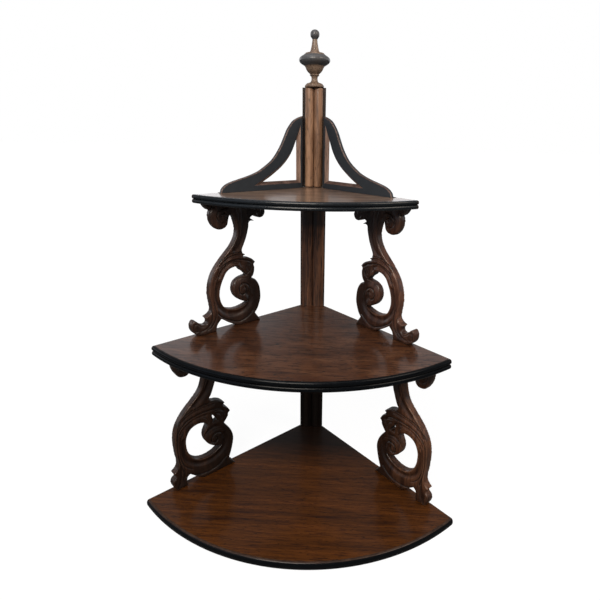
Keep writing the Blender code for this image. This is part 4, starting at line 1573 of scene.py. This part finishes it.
def make_post() -> None:
    """Make the three lengths of the post."""
    low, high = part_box("middle_post")
    # Painted shade at the post's ends, under the top shelf and above the middle one
    ends = (PaintedShade("Z", high.z - 0.078, high.z - 0.064, 0.8),
            PaintedShade("Z", low.z + 0.1, low.z + 0.02, 0.4))
    lengths = (
        # Painted shade: under the middle shelf, the lower length's block and reeds are given near
        # black
        PostLength("lower_post", 0.028, 0.0255, 0.0055,
                   UprightWood("lower_block_rosewood", "#060403", "#0d0806", "#150e0a", shift=2.0,
                               specular=0.15, coat=0.0),
                   UprightWood("lower_reed_rosewood", "#080503", "#110906", "#1b100a", shift=4.0,
                               specular=0.2, coat=0.0)),
        PostLength("middle_post", 0.028, 0.0255, 0.0055,
                   UprightWood("middle_block_rosewood", "#140d0a", "#2b1c15", "#402b20", shift=2.0,
                               darkened=ends),
                   UprightWood("middle_reed_rosewood", "#1b100b", "#583928", "#7e553c", shift=6.0,
                               patch="#21150f", figure_mm=(140.0, 9.0), darkened=ends)),
        PostLength("upper_post", 0.02475, 0.0185, 0.008,
                   # Painted sheen and haze of light: the upper block is given a brown grey, not a
                   # black
                   Ebonised("upper_post_ebonised", black="#2b2421", patch="#3a302b", wear=0.0),
                   UprightWood("upper_reed_walnut", "#432e22", "#87644b", "#a37e63", shift=8.0,
                               streak_depth=0.35),
                   end_round=0.0035),
    )
    for length in lengths:
        length.make()


def make_gallery() -> None:
    """Make the pair of gallery brackets."""
    for wall in Wall:
        name = wall.name.lower()
        worn = {"shift": 3.0 + wall.value, "coat": 0.0, "roughness": (0.5, 0.6)}
        GalleryBracket(
            # Painted sheen: the ebonised face is given a lighter, bluer black than the shelves'
            # edges
            wall, Ebonised("%s_gallery_ebonised" % name, black="#272b30", patch="#2c3035",
                           roughness=0.32, wear=0.0),
            UprightWood("%s_gallery_edge" % name, "#4a362c", "#7a5e50", "#92786a", **worn),
            # Painted shade: a darker copy of the bevel's brown for its up-facing side
            PolishedWood("%s_gallery_arris" % name, "#2f201b", "#513c34", "#665048", **worn),
        ).make()


def make_supports() -> None:
    """Carve the two pairs of supports."""
    # Painted light: the left pair is given a darker, shaded copy of the mahogany and its crests,
    # the right pair a paler, lit one
    shaded_left_lit_right_crests = {Wall.LEFT: "#6e5343", Wall.RIGHT: "#8e6d57"}
    for pattern, shaded_left_lit_right_tones, shift in (
        (LOWER_PATTERN, {Wall.LEFT: ("#0e0805", "#2c1a11", "#40291c"),
                         Wall.RIGHT: ("#170d08", "#4e3020", "#704a34")}, 2.0),
        (UPPER_PATTERN, {Wall.LEFT: ("#150d0a", "#3a2319", "#4f3427"),
                         Wall.RIGHT: ("#1c120e", "#4b2d21", "#664434")}, 12.0),
    ):
        finishes = {
            wall: UprightWood(
                "%s_%s_carved_mahogany" % (pattern.level, wall.name.lower()), *shaded_left_lit_right_tones[wall],
                shift=shift + wall.value, figure_mm=(60.0, 9.0), streak_mm=(24.0, 2.0),
                streak_depth=0.45, pore_depth=0.45, carved=True, coat=0.15,
                roughness=(0.34, 0.44), specular=0.3, crest=shaded_left_lit_right_crests[wall],
            )
            for wall in Wall
        }
        CarvedSupports(pattern, finishes).make()


def make_finial() -> None:
    """Turn the finial, painted paler than the rest as the whole upper part is, for the haze of
    light over it.
    """
    Finial(
        UprightWood("finial_walnut", "#46362c", "#776353", "#8c7665", shift=15.0,
                    streak_mm=(20.0, 2.0)),
        Ebonised("finial_ebonised", black="#48494c", patch="#55504d", worn="#6a5f58",
                 roughness=0.3, specular=0.5),
    ).make()


def main() -> None:
    """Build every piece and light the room."""
    make_shelves()
    make_post()
    make_finial()
    make_gallery()
    make_supports()
    dress_dowels()
    Studio().make()


if __name__ == "__main__":
    main()
